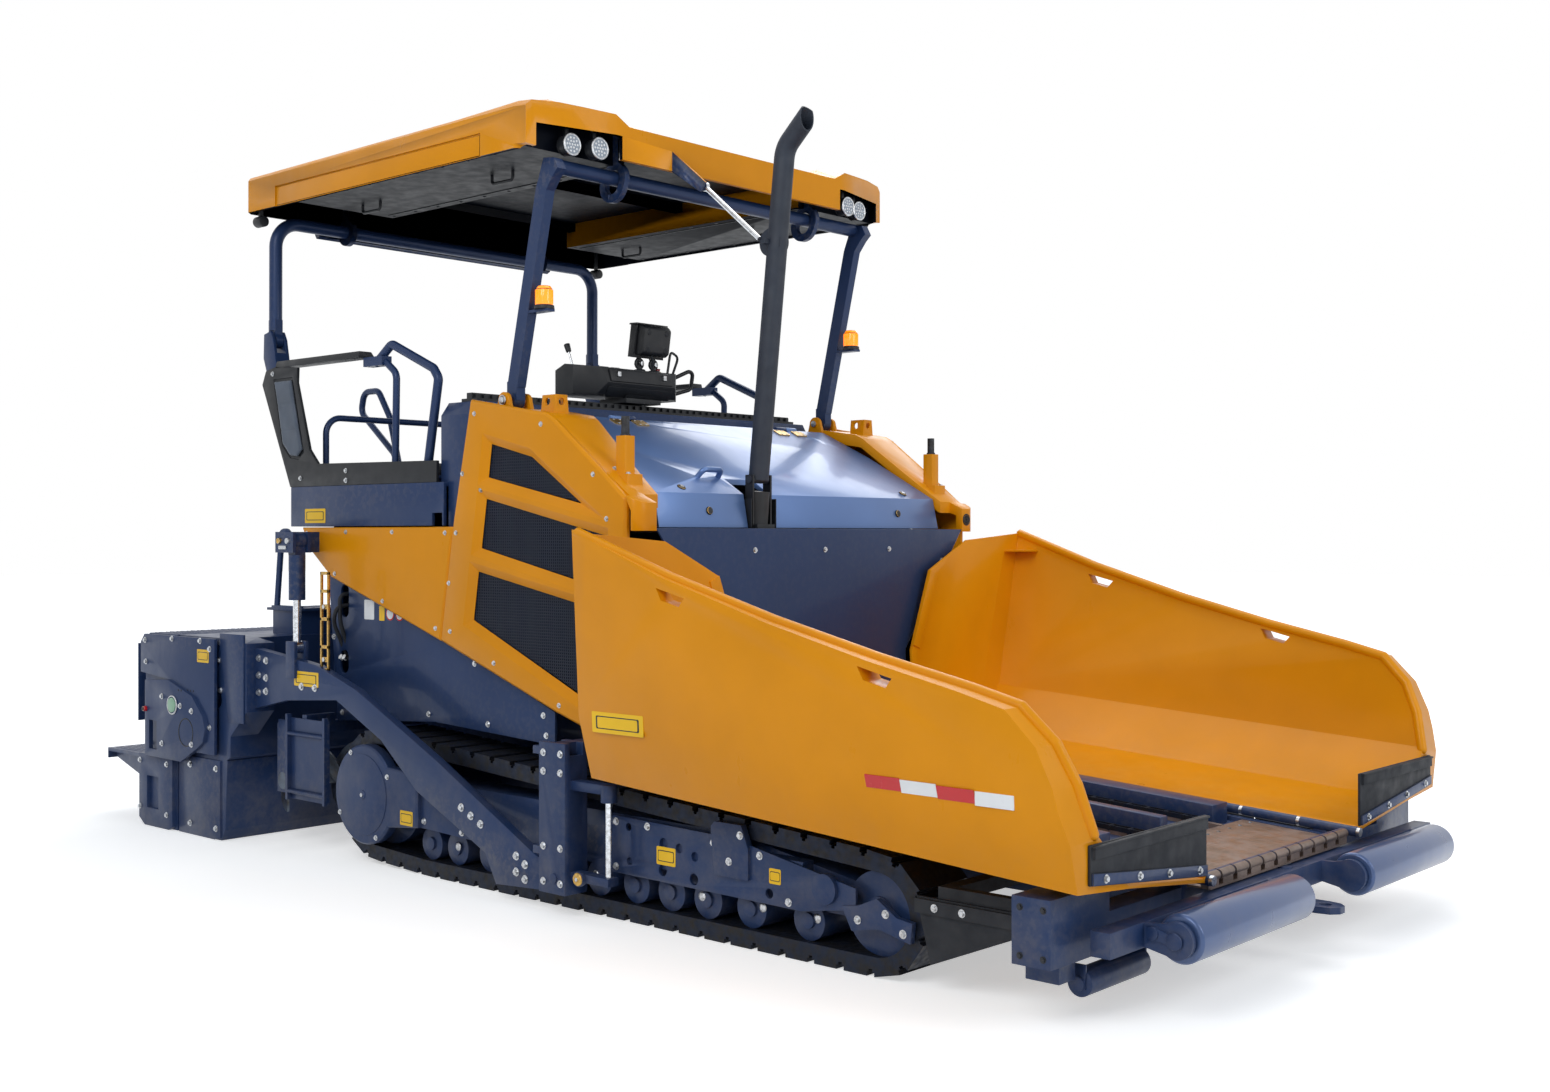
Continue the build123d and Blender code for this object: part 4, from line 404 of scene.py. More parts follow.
class Shape:
    """Geometry gathered for one piece; each part of it has its own finish."""

    def __init__(self):
        self.form = bmesh.new()
        self.finishes = []

    def paint(self, faces, finish):
        if finish not in self.finishes:
            self.finishes.append(finish)
        for face in faces:
            face.material_index = self.finishes.index(finish)

    def loops(self, rings, finish, closed=False, capped=True):
        """Skin over rings of points, each with the same count."""
        made = [[self.form.verts.new(spot) for spot in ring] for ring in rings]
        faces = []
        for first, second in zip(made, made[1:] + made[:1] if closed else made[1:]):
            for i in range(len(first)):
                j = (i + 1) % len(first)
                faces.append(self.form.faces.new((first[i], first[j], second[j], second[i])))
        if capped and not closed:
            faces += [self.form.faces.new(made[0]), self.form.faces.new(made[-1])]
        self.paint(faces, finish)
        bmesh.ops.recalc_face_normals(self.form, faces=faces)
        return faces

    def soften(self, faces, width):
        edges = list({edge for face in faces for edge in face.edges if edge.calc_face_angle(0) > 0.4})
        bmesh.ops.bevel(
            self.form, geom=edges, offset=width, segments=2, profile=0.5, affect="EDGES", clamp_overlap=True
        )

    def prism(self, outline, axis, start, end, finish, soft=0.0):
        """An outline in the two other axes, filled from start to end along axis."""
        place = {
            "x": lambda a, b, c: (c, a, b),
            "y": lambda a, b, c: (a, c, b),
            "z": lambda a, b, c: (a, b, c),
        }[axis]
        faces = self.loops([[place(a, b, c) for a, b in outline] for c in (start, end)], finish)
        if soft:
            self.soften(faces, soft)

    def box(self, low, high, finish, soft=0.0):
        (x0, y0, z0), (x1, y1, z1) = low, high
        self.prism(((x0, y0), (x1, y0), (x1, y1), (x0, y1)), "z", z0, z1, finish, soft)

    def rod(self, start, end, radius, finish, far_radius=None, sides=20, soft=0.0):
        start, end = Vector(start), Vector(end)
        turn = (end - start).to_track_quat("Z", "Y")
        rings = []
        for spot, size in ((start, radius), (end, radius if far_radius is None else far_radius)):
            angles = [2 * math.pi * k / sides for k in range(sides)]
            rings.append([spot + turn @ Vector((size * math.cos(t), size * math.sin(t), 0)) for t in angles])
        faces = self.loops(rings, finish)
        if soft:
            self.soften(faces, soft)

    def stud(self, place, low, top, radius, finish, far_radius=None, sides=20, soft=0.0):
        """A round fitting that stands on a surface, from low to top above it."""
        spot, normal = place
        self.rod(spot + normal * low, spot + normal * top, radius, finish, far_radius, sides, soft)

    def ring(self, centre, axis, radius, thick, finish, sides=32):
        turn = Vector(axis).to_track_quat("Z", "Y")
        rings = []
        for k in range(sides):
            t = 2 * math.pi * k / sides
            out = Vector((math.cos(t), math.sin(t), 0))
            around = [2 * math.pi * j / 8 for j in range(8)]
            ring = (out * (radius + thick * math.cos(u)) + Vector((0, 0, thick * math.sin(u))) for u in around)
            rings.append([Vector(centre) + turn @ spot for spot in ring])
        self.loops(rings, finish, closed=True)

    def pipe(self, points, radius, finish, bend=0.05, sides=10):
        """A round pipe through points, with its corners rounded."""
        spots = [Vector(p) for p in points]
        path = [spots[0]]
        for before, corner, after in zip(spots, spots[1:], spots[2:]):
            back, on = before - corner, after - corner
            reach = min(bend, back.length * 0.45, on.length * 0.45)
            start, end = corner + back.normalized() * reach, corner + on.normalized() * reach
            for t in (0, 0.2, 0.4, 0.6, 0.8, 1):
                path.append(start * (1 - t) ** 2 + corner * 2 * t * (1 - t) + end * t ** 2)
        path.append(spots[-1])
        rings = []
        across = (path[1] - path[0]).orthogonal().normalized()
        for index, spot in enumerate(path):
            run = path[min(index + 1, len(path) - 1)] - path[max(index - 1, 0)]
            across = (across - run.normalized() * across.dot(run.normalized())).normalized()
            over = run.normalized().cross(across)
            angles = [2 * math.pi * k / sides for k in range(sides)]
            rings.append([spot + across * radius * math.cos(t) + over * radius * math.sin(t) for t in angles])
        self.loops(rings, finish)

    def tile(self, spot, normal, up, size, thick, finish, corner=0.004):
        """A thin plate with clipped corners that lies on a surface."""
        normal = Vector(normal).normalized()
        over = (Vector(up) - normal * Vector(up).dot(normal)).normalized()
        along = over.cross(normal)
        wide, high = size[0] / 2, size[1] / 2
        outline = (
            (-wide, corner - high), (corner - wide, -high), (wide - corner, -high), (wide, corner - high),
            (wide, high - corner), (wide - corner, high), (corner - wide, high), (-wide, high - corner),
        )
        low, top = Vector(spot) - normal * SINK, Vector(spot) + normal * thick
        self.loops([[base + along * a + over * b for a, b in outline] for base in (low, top)], finish)

    def done(self, name, body, angle=34):
        mesh = bpy.data.meshes.new(name)
        self.form.to_mesh(mesh)
        self.form.free()
        for finish in self.finishes:
            mesh.materials.append(MATERIALS[finish])
        mesh.shade_smooth()
        mesh.set_sharp_from_angle(angle=math.radians(angle))
        piece = placed(name, mesh)
        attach(piece, body)
        return piece


# ---------------------------------------------------------------- geometry nodes
class Tree(Graph):
    """A Geometry Nodes tree that sets copies of one form on points; one measure of the form is an input."""

    def __init__(self, name, measure, default):
        old = bpy.data.node_groups.get(name)
        if old:
            bpy.data.node_groups.remove(old)
        self.tree = bpy.data.node_groups.new(name, "GeometryNodeTree")
        sockets = self.tree.interface
        sockets.new_socket("Points", in_out="INPUT", socket_type="NodeSocketGeometry")
        sockets.new_socket(measure, in_out="INPUT", socket_type="NodeSocketFloat").default_value = default
        sockets.new_socket("Finish", in_out="INPUT", socket_type="NodeSocketMaterial")
        sockets.new_socket("Piece", in_out="OUTPUT", socket_type="NodeSocketGeometry")
        self.given = self.add("NodeGroupInput").outputs
        self.measure = self.given[measure]

    def cylinder(self, sides, radius, depth, centre):
        form = self.add("GeometryNodeMeshCylinder", {"Vertices": sides, "Radius": radius, "Depth": depth})
        return self.add("GeometryNodeTransform", {"Geometry": form, "Translation": (0, 0, centre)})

    def attribute(self, name):
        return self.add("GeometryNodeInputNamedAttribute", {"Name": name}, data_type="FLOAT_VECTOR").outputs[0]

    def spread(self, form):
        """Copies of the form, turned to each point's axis and across, and scaled by its size."""
        upright = self.add("FunctionNodeAlignRotationToVector", {"Vector": self.attribute("axis")}, axis="Z")
        turned = self.add(
            "FunctionNodeAlignRotationToVector", {"Rotation": upright, "Vector": self.attribute("across")},
            axis="X", pivot_axis="Z",
        )
        copies = self.add("GeometryNodeInstanceOnPoints", {
            "Points": self.given["Points"], "Instance": form, "Rotation": turned,
            "Scale": self.attribute("size"),
        })
        real = self.add("GeometryNodeRealizeInstances", {"Geometry": copies})
        painted = self.add("GeometryNodeSetMaterial", {"Geometry": real, "Material": self.given["Finish"]})
        self.add("NodeGroupOutput", {"Piece": painted})
        return self.tree


def form_trees():
    """One tree for each form that repeats: hexagon bolt, plain bar, round rod, dome and ring."""
    bolt = Tree("hexagon_bolts", "Head height", 0.75)
    head, washer = bolt.cylinder(6, 1.0, bolt.measure, 0.6), bolt.cylinder(14, 1.5, 0.25, 0.12)
    bar = Tree("bars", "Edge", 1.0)
    rod = Tree("rods", "Length", 1.0)
    dome = Tree("domes", "Radius", 1.0)
    ball = dome.add("GeometryNodeMeshUVSphere", {"Segments": 12, "Rings": 7, "Radius": dome.measure})
    ring = Tree("rings", "Thickness", 0.14)
    loop = ring.add("GeometryNodeCurvePrimitiveCircle", {"Resolution": 28, "Radius": 1.0})
    profile = ring.add("GeometryNodeCurvePrimitiveCircle", {"Resolution": 8, "Radius": ring.measure})
    hoop = ring.add("GeometryNodeCurveToMesh", {"Curve": loop, "Profile Curve": profile})
    return {
        "bolt": bolt.spread(bolt.add("GeometryNodeJoinGeometry", {"Geometry": [head, washer]})),
        "bar": bar.spread(bar.add("GeometryNodeMeshCube", {"Size": bar.measure})),
        "rod": rod.spread(rod.cylinder(16, 1.0, rod.measure, 0.0)),
        "dome": dome.spread(ball),
        "ring": ring.spread(hoop),
    }


TREES = {}


def bolt_at(place, radius):
    """A row for a hexagon bolt whose washer is set into the surface a little."""
    spot, normal = place
    return spot - normal * SINK, normal, (radius,) * 3, BOLT_TURN


def repeated(name, body, form, finish, rows, measure=None):
    """One piece made of copies of a form; each row is its place, axis, size and across."""
    mesh = bpy.data.meshes.new(name)
    mesh.from_pydata([tuple(row[0]) for row in rows], [], [])
    for label, index, default in (("axis", 1, (0, 0, 1)), ("size", 2, (1, 1, 1)), ("across", 3, (1, 0, 0))):
        values = mesh.attributes.new(label, "FLOAT_VECTOR", "POINT")
        for item, row in zip(values.data, rows):
            item.vector = tuple(row[index]) if len(row) > index else default
    piece = placed(name, mesh)
    grow = piece.modifiers.new("grow", "NODES")
    grow.node_group = TREES[form]
    for socket in TREES[form].interface.items_tree:
        if socket.name == "Finish":
            grow[socket.identifier] = MATERIALS[finish]
        if socket.socket_type == "NodeSocketFloat" and measure:
            grow[socket.identifier] = measure
    final = plain(piece)
    if form != "bar":
        final.shade_smooth()
        final.set_sharp_from_angle(angle=math.radians(35))
    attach(piece, body)
    return piece


class PAVER_OT_finishes(bpy.types.Operator):
    """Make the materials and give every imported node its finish"""

    bl_idname = "paver.finishes"
    bl_label = "Finishes"

    def execute(self, context):
        make_materials(context.scene.paver_colours)
        TREES.update(form_trees())
        for finish, names in NODE_FINISH.items():
            for name in names:
                if name not in frame["nodes"]:
                    raise ValueError(f"no packed node named {name}")
                mesh = frame["nodes"][name].data
                mesh.materials.clear()
                mesh.materials.append(MATERIALS[finish])
        return {"FINISHED"}


def softened(node, width, angle=28, segments=2):
    """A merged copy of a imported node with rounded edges, which stands for it."""
    source = frame["nodes"][node]
    mesh = source.data.copy()
    shape = bmesh.new()
    shape.from_mesh(mesh)
    bmesh.ops.remove_doubles(shape, verts=shape.verts, dist=0.00005)
    bmesh.ops.dissolve_limit(
        shape, angle_limit=math.radians(0.6), verts=shape.verts, edges=shape.edges,
        use_dissolve_boundaries=False,
    )
    shape.to_mesh(mesh)
    shape.free()
    piece = placed(f"{node}_sheet", mesh)
    bevel = piece.modifiers.new("edge", "BEVEL")
    bevel.width, bevel.segments, bevel.limit_method = width, segments, "ANGLE"
    bevel.angle_limit, bevel.use_clamp_overlap, bevel.harden_normals = math.radians(angle), True, False
    final = plain(piece)
    final.shade_smooth()
    final.set_sharp_from_angle(angle=math.radians(34))
    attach(piece, source["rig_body"])
    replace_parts(piece, node)
    return piece


SOFT_NODES = (
    "side_panels", "rear_panels", "fenders", "wing_right", "wing_left", "canopy", "hood", "back_wall", "skirts",
    "platform", "dash_cabinet", "side_boards", "tow_arms", "screed_box", "extension_right", "extension_left",
    "final_drives", "rear_posts", "push_beam", "front_beam", "track_frames", "tow_guides", "conveyor_guards",
    "wing_lip_right", "wing_lip_left", "push_roller_right", "push_roller_left", "main_frame", "console",
)


class PAVER_OT_edges(bpy.types.Operator):
    """Round the edges of the sheet metal"""

    bl_idname = "paver.edges"
    bl_label = "Rounded edges"

    def execute(self, context):
        for name in SOFT_NODES:
            softened(name, context.scene.paver_sizes.edge)
        return {"FINISHED"}


def repaint(piece, finish, inside):
    """Another finish for the faces whose centre and direction pass a test."""
    mesh = piece.data
    mesh.materials.append(MATERIALS[finish])
    slot = len(mesh.materials) - 1
    for face in mesh.polygons:
        if inside(face.center, face.normal):
            face.material_index = slot


class PAVER_OT_roof(bpy.types.Operator):
    """Line the roof, paint its lamp recesses gloss black as painted shade, and finish its lamps, handles and hangers
    """

    bl_idname = "paver.roof"
    bl_label = "Roof"

    def execute(self, context):
        rear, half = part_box("canopy")[0][0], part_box("canopy")[1][1]
        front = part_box("roof_lamps")[1][0] + 0.03
        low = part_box("canopy")[1][2] - 0.26
        ceiling = low + 0.15
        rim = 0.026

        def within(spot, edge):
            corner = (spot.x - (front - 0.112)) * 0.45 + (abs(spot.y) - half) * 0.112
            clear = corner < -edge * 0.46
            return rear + edge < spot.x < front - edge and abs(spot.y) < half - edge and clear

        # faces of the lamp recesses in the roof's nose, which are painted gloss black as painted shade
        def shaded_recess(spot, face):
            inward = face.z < -0.5 or abs(face.y) > 0.5 or spot.x < front - 0.03
            across = half - 0.492 < abs(spot.y) < half - 0.048 and low + 0.002 < spot.z < low + 0.112
            return front - 0.142 < spot.x < front - 0.001 and across and inward

        def keel(spot, face):
            upright = abs(face.y) > 0.9 and spot.z > low
            return abs(abs(spot.y) - 0.64) < 0.004 and upright and abs(spot.x + 0.8) < 0.96

        roof = bpy.data.objects["canopy_sheet"]
        repaint(roof, "lining", lambda spot, face: spot.z < ceiling + 0.004 and within(spot, rim - 0.004))
        # lamp recesses: painted shade in gloss black
        repaint(roof, "gloss", shaded_recess)
        repaint(roof, "yellow", keel)
        repaint(roof, "slate", lambda spot, face: spot.z < low - 0.004)
        self.panels(rear, front, half, low)
        self.lamps(rear, front, half, low)
        return {"FINISHED"}

    def panels(self, rear, front, half, low):
        """Glossy ceiling panels, the joint along each side, pull handles and the lining's buttons."""
        trim = Shape()
        body = body_of("canopy")
        for x in (rear + 0.47, rear + 1.43):
            trim.box((x, -0.60, low + 0.146), (x + 0.86, 0.60, low + 0.1505), "lining", 0.002)
        start, end = rear + 0.314, front - 0.45
        for sign in SIGNS:
            edge = sign * (half - 0.008)
            trim.box((start, edge, low + 0.004), (end, edge + sign * 0.0035, low + 0.1), "yellow", 0.0015)
            for x in (rear + 0.62, rear + 1.72):
                y, top, bottom = sign * 0.95, low + 0.011, low - 0.03
                handle = ((x, y, top), (x, y, bottom), (x + 0.16, y, bottom), (x + 0.16, y, top))
                trim.pipe(handle, 0.008, "plastic", 0.02)
            y, top = sign * 0.70, low + 0.0095
            trim.box((rear + 0.5, y, low + 0.0065), (front - 0.21, y + sign * 0.005, top), "plastic")
        trim.done("roof_trim", body)
        buttons = [
            ((x, sign * y, low + 0.0095), (0, 0, -1), (0.011, 0.011, 0.004))
            for sign in SIGNS for y in (0.665, 1.24)
            for x in (rear + 0.5 + step * 0.2 for step in range(9))
        ]
        repeated("lining_buttons", body, "dome", "plastic", buttons)

    def lamps(self, rear, front, half, low):
        """Work lamps of many small lights in ribbed cases, and the round lamps at the rear."""
        case = Shape()
        leds, fins = [], []
        lamp_z = low + 0.038
        for sign in SIGNS:
            for x, y in ((front - 0.095, half - 0.240), (front - 0.060, half - 0.380)):
                y *= sign
                case.rod((x - 0.036, y, lamp_z), (x + 0.012, y, lamp_z), 0.043, "plastic", 0.050, 24, 0.002)
                case.rod((x + 0.010, y, lamp_z), (x + 0.024, y, lamp_z), 0.0525, "plastic", None, 28, 0.002)
                case.ring((x + 0.026, y, lamp_z), (1, 0, 0), 0.0475, 0.0055, "zinc")
                case.rod((x + 0.023, y, lamp_z), (x + 0.0275, y, lamp_z), 0.043, "lamp", None, 28)
                foot, head = (x - 0.03, y - 0.01, lamp_z + 0.04), (x - 0.01, y + 0.01, low + 0.148)
                case.box(foot, head, "plastic", 0.002)
                for ring, count in ((0.0, 1), (0.0165, 6), (0.032, 10)):
                    for k in range(count):
                        t = 2 * math.pi * k / count + ring
                        spot = (x + 0.0275, y + ring * math.cos(t), lamp_z + ring * math.sin(t))
                        leds.append((spot, (1, 0, 0), (0.0055, 0.0055, 0.003)))
                for k in range(5):
                    fins.append(((x - 0.030 + k * 0.008, y, lamp_z), (1, 0, 0), (0.047, 0.047, 0.002)))
            x, y, z = rear + 0.064, sign * (half - 0.062), low - 0.045
            case.rod((x - 0.036, y, z), (x + 0.036, y, z), 0.030, "plastic", None, 24, 0.004)
            case.rod((x - 0.038, y, z), (x - 0.0355, y, z), 0.025, "lamp", None, 24)
            case.box((x - 0.01, y - 0.01, z), (x + 0.01, y + 0.01, low + 0.148), "plastic", 0.002)
        body = body_of("roof_lamps")
        piece = case.done("roof_lamp_cases", body)
        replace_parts(piece, "roof_lamps")
        repeated("lamp_leds", body, "dome", "white", leds)
        repeated("lamp_fins", body, "rod", "plastic", fins)


class PAVER_OT_grilles(bpy.types.Operator):
    """Woven mesh with its bars behind each side opening, over dark sheets that are painted shade for the inside
    behind it
    """

    bl_idname = "paver.grilles"
    bl_label = "Side grilles"

    def execute(self, context):
        sizes = context.scene.paver_sizes
        openings = (
            ((-0.149, 2.054), (0.139, 1.985), (0.474, 1.771), (-0.172, 1.901)),
            ((-0.187, 1.798), (0.640, 1.625), (0.640, 1.390), (-0.224, 1.569)),
            ((-0.247, 1.456), (0.640, 1.290), (0.640, 0.850), (-0.284, 1.229)),
        )
        body = body_of("side_grilles")
        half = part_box("side_panels")[1][1]
        rows = []
        back = Shape()
        for sign in SIGNS:
            y = sign * (half - 0.036)
            for opening in openings:
                grown = [(x + (0.012 if x > 0 else -0.012), z) for x, z in opening]
                # solid dark sheets behind the wires, a grille-black one and a gloss-black one further in: painted
                # shade for the dark inside that shows through the grille
                back.prism(grown, "y", sign * (half - 0.044), sign * (half - 0.0405), "mesh")
                back.prism(grown, "y", sign * (half - 0.060), sign * (half - 0.056), "gloss")
                rows += self.wires(grown, y, sizes.wire, sizes.pitch)
        piece = back.done("grille_painted_shade_backs", body)
        wires = repeated("grille_wires", body, "bar", "mesh", rows)
        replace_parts(piece, "side_grilles")
        return {"FINISHED"}

    def wires(self, outline, y, wire, pitch):
        """Upright and level wires cut to the opening's outline."""
        rows = []
        for level, other in ((0, 1), (1, 0)):
            low = min(spot[level] for spot in outline)
            high = max(spot[level] for spot in outline)
            count = int((high - low) / pitch)
            for index in range(1, count):
                at = low + index * pitch
                ends = []
                for first, second in zip(outline, outline[1:] + outline[:1]):
                    a, b = first[level], second[level]
                    if (a - at) * (b - at) < 0:
                        ends.append(first[other] + (second[other] - first[other]) * (at - a) / (b - a))
                if len(ends) == 2 and abs(ends[0] - ends[1]) > 0.01:
                    middle, run = (ends[0] + ends[1]) / 2, abs(ends[0] - ends[1])
                    spot = (at, y, middle) if level == 0 else (middle, y, at)
                    axis = (0, 0, 1) if level == 0 else (1, 0, 0)
                    rows.append((spot, axis, (wire, wire * 0.8, run), (0, 1, 0)))
        return rows


# node, view, bolt radius in metres, finish, places in the view's two axes
BOLTS = (
    ("side_panels", "side", 0.008, "zinc", (
        (-0.245, 2.20), (0.235, 2.13), (0.585, 1.895), (0.672, 1.70), (0.672, 1.34), (0.672, 0.80), (0.36, 0.87),
        (-0.10, 1.035), (-0.43, 1.17), (-0.44, 1.40), (-0.385, 1.64), (-0.335, 1.92), (-0.20, 1.84),
    )),
    ("rear_panels", "side", 0.008, "zinc", (
        (-1.66, 1.64), (-1.30, 1.645), (-0.90, 1.645), (-0.47, 1.64), (-0.545, 1.18), (-0.98, 1.30), (-1.40, 1.43),
    )),
    ("skirts", "side", 0.010, "zinc", (
        (-1.40, 0.71), (-1.04, 0.73), (-0.66, 0.755), (-0.20, 0.74), (0.22, 0.72), (0.20, 0.81), (-1.44, 1.44),
        (-1.12, 1.42), (-0.80, 1.34), (-1.475, 1.10), (-0.30, 1.02),
    )),
    ("tow_arms", "side", 0.013, "zinc", (
        (-1.805, 0.985), (-1.805, 0.895), (-1.805, 0.805), (-1.735, 0.975), (-1.735, 0.885), (-1.735, 0.815),
        (-1.40, 0.86), (-1.28, 0.86), (0.30, 0.22), (0.36, 0.19), (0.30, 0.15), (0.36, 0.125), (0.05, 0.33),
        (-0.02, 0.36), (-0.09, 0.39),
    )),
    ("screed_box", "side", 0.012, "zinc", (
        (-2.10, 1.055), (-2.20, 1.055), (-2.12, 0.96), (-2.10, 0.80), (-2.13, 0.38), (-2.40, 0.38), (-2.13, 0.06),
        (-2.40, 0.06),
    )),
    ("final_drives", "side", 0.011, "zinc", (
        (-0.49, 0.27), (-0.20, 0.25), (-0.49, 0.45), (-0.35, 0.36),
    )),
    ("track_frames", "side", 0.011, "zinc", (
        (0.83, 0.42), (0.83, 0.23), (1.02, 0.42), (1.40, 0.40), (1.56, 0.45), (1.50, 0.34), (1.65, 0.38),
        (1.80, 0.22), (2.28, 0.25), (2.36, 0.19), (2.15, 0.21),
    )),
    ("tow_guides", "side", 0.011, "zinc", (
        (0.53, 0.70), (0.64, 0.70), (0.53, 0.62), (0.64, 0.62), (0.53, 0.30), (0.64, 0.30), (0.53, 0.15),
        (0.64, 0.15),
    )),
    ("flaps", "side", 0.010, "zinc", ((2.50, 0.305), (2.62, 0.305))),
    ("front_beam", "side", 0.008, "cast", ((2.97, 0.41), (3.06, 0.41), (2.97, 0.25), (3.06, 0.25))),
    ("side_boards", "side", 0.009, "zinc", ((-1.72, 1.93), (-1.30, 1.91), (-1.30, 1.96), (-1.99, 2.50))),
    ("fenders", "top", 0.009, "zinc", ((0.621, -1.152), (0.705, -1.152), (0.621, 1.152), (0.705, 1.152))),
    ("back_wall", "front", 0.009, "zinc", (
        (-0.95, 1.50), (-0.5, 1.56), (0.0, 1.56), (0.5, 1.56), (0.95, 1.50), (-0.55, 0.98), (0.55, 0.98),
    )),
    ("dash_cabinet", "rear", 0.008, "zinc", (
        (-1.15, 1.90), (-0.6, 1.90), (0.0, 1.90), (0.6, 1.90), (1.15, 1.90), (-1.15, 2.15), (-0.6, 2.15), (0.0, 2.15),
        (0.6, 2.15), (1.15, 2.15),
    )),
)


class PAVER_OT_fasteners(bpy.types.Operator):
    """Bolt heads on panels, arms, covers and frames"""

    bl_idname = "paver.fasteners"
    bl_label = "Fasteners"

    def execute(self, context):
        share = context.scene.paver_sizes.bolt / 0.013
        for index, (node, view, radius, finish, places) in enumerate(BOLTS):
            radius *= share
            rows = []
            for side in ("right", "left") if view == "side" else (view,):
                rows += [bolt_at(seen(node, side, a, b), radius) for a, b in places]
            repeated(f"bolts_{index:02d}_{node}", body_of(node), "bolt", finish, rows)
        return {"FINISHED"}


class PAVER_OT_labels(bpy.types.Operator):
    """Blank stickers, warning stripes and round marks"""

    bl_idname = "paver.labels"
    bl_label = "Labels and reflectors"

    def execute(self, context):
        # node, view, centre, width, height, finish
        stickers = (
            ("platform", "right", (-1.58, 1.73), 0.19, 0.075, "label"),
            ("wing_right", "right", (1.12, 0.875), 0.30, 0.085, "label"),
            ("wing_left", "left", (1.12, 0.875), 0.30, 0.085, "label"),
            ("extension_right", "right", (-2.22, 0.98), 0.12, 0.07, "label"),
            ("tow_arms", "right", (-1.36, 0.90), 0.22, 0.075, "label"),
            ("final_drives", "right", (-0.59, 0.276), 0.10, 0.07, "label"),
            ("track_frames", "right", (1.13, 0.31), 0.11, 0.075, "label"),
            ("track_frames", "right", (1.73, 0.31), 0.06, 0.06, "label"),
            ("track_frames", "left", (1.13, 0.31), 0.11, 0.075, "label"),
        )
        for index, (node, view, (a, b), wide, high, finish) in enumerate(stickers):
            spot, normal = seen(node, view, a, b)
            sticker = Shape()
            for lift, across, up, thick, coat in (
                (0.0, 1.0, 1.0, 0.0012, finish),
                (0.0006, 0.84, 0.62, 0.0011, "plastic"),
                (0.0010, 0.78, 0.52, 0.0011, finish),
            ):
                sticker.tile(spot + normal * lift, normal, (0, 0, 1), (wide * across, high * up), thick, coat)
            sticker.done(f"sticker_{index:02d}", body_of(node))
        for side in ("right", "left"):
            strip = Shape()
            for index in range(4):
                x = 2.46 + index * 0.155
                spot, normal = seen(f"wing_{side}", side, x, 0.775 - (x - 2.46) * 0.027)
                finish = ("red", "white")[index % 2]
                strip.tile(spot, normal, (0, 0, 1), (0.154, 0.048), 0.0016, finish, 0.001)
            strip.done(f"reflector_{side}", body_of(f"wing_{side}"))
        marks = Shape()
        for side in ("right", "left"):
            for x in (-0.98, -0.90):
                place = seen("skirts", side, x, 1.235)
                marks.stud(place, -SINK, 0.0012, 0.034, "red", None, 32)
                marks.stud(place, 0.0, 0.0018, 0.027, "white", None, 32)
            for x, z, size, finish in (
                (-1.16, 1.25, (0.085, 0.10), "white"),
                (-1.05, 1.235, (0.045, 0.075), "label"),
            ):
                marks.tile(*seen("skirts", side, x, z), (0, 0, 1), size, 0.0012, finish)
        marks.done("round_marks", body_of("skirts"))
        return {"FINISHED"}


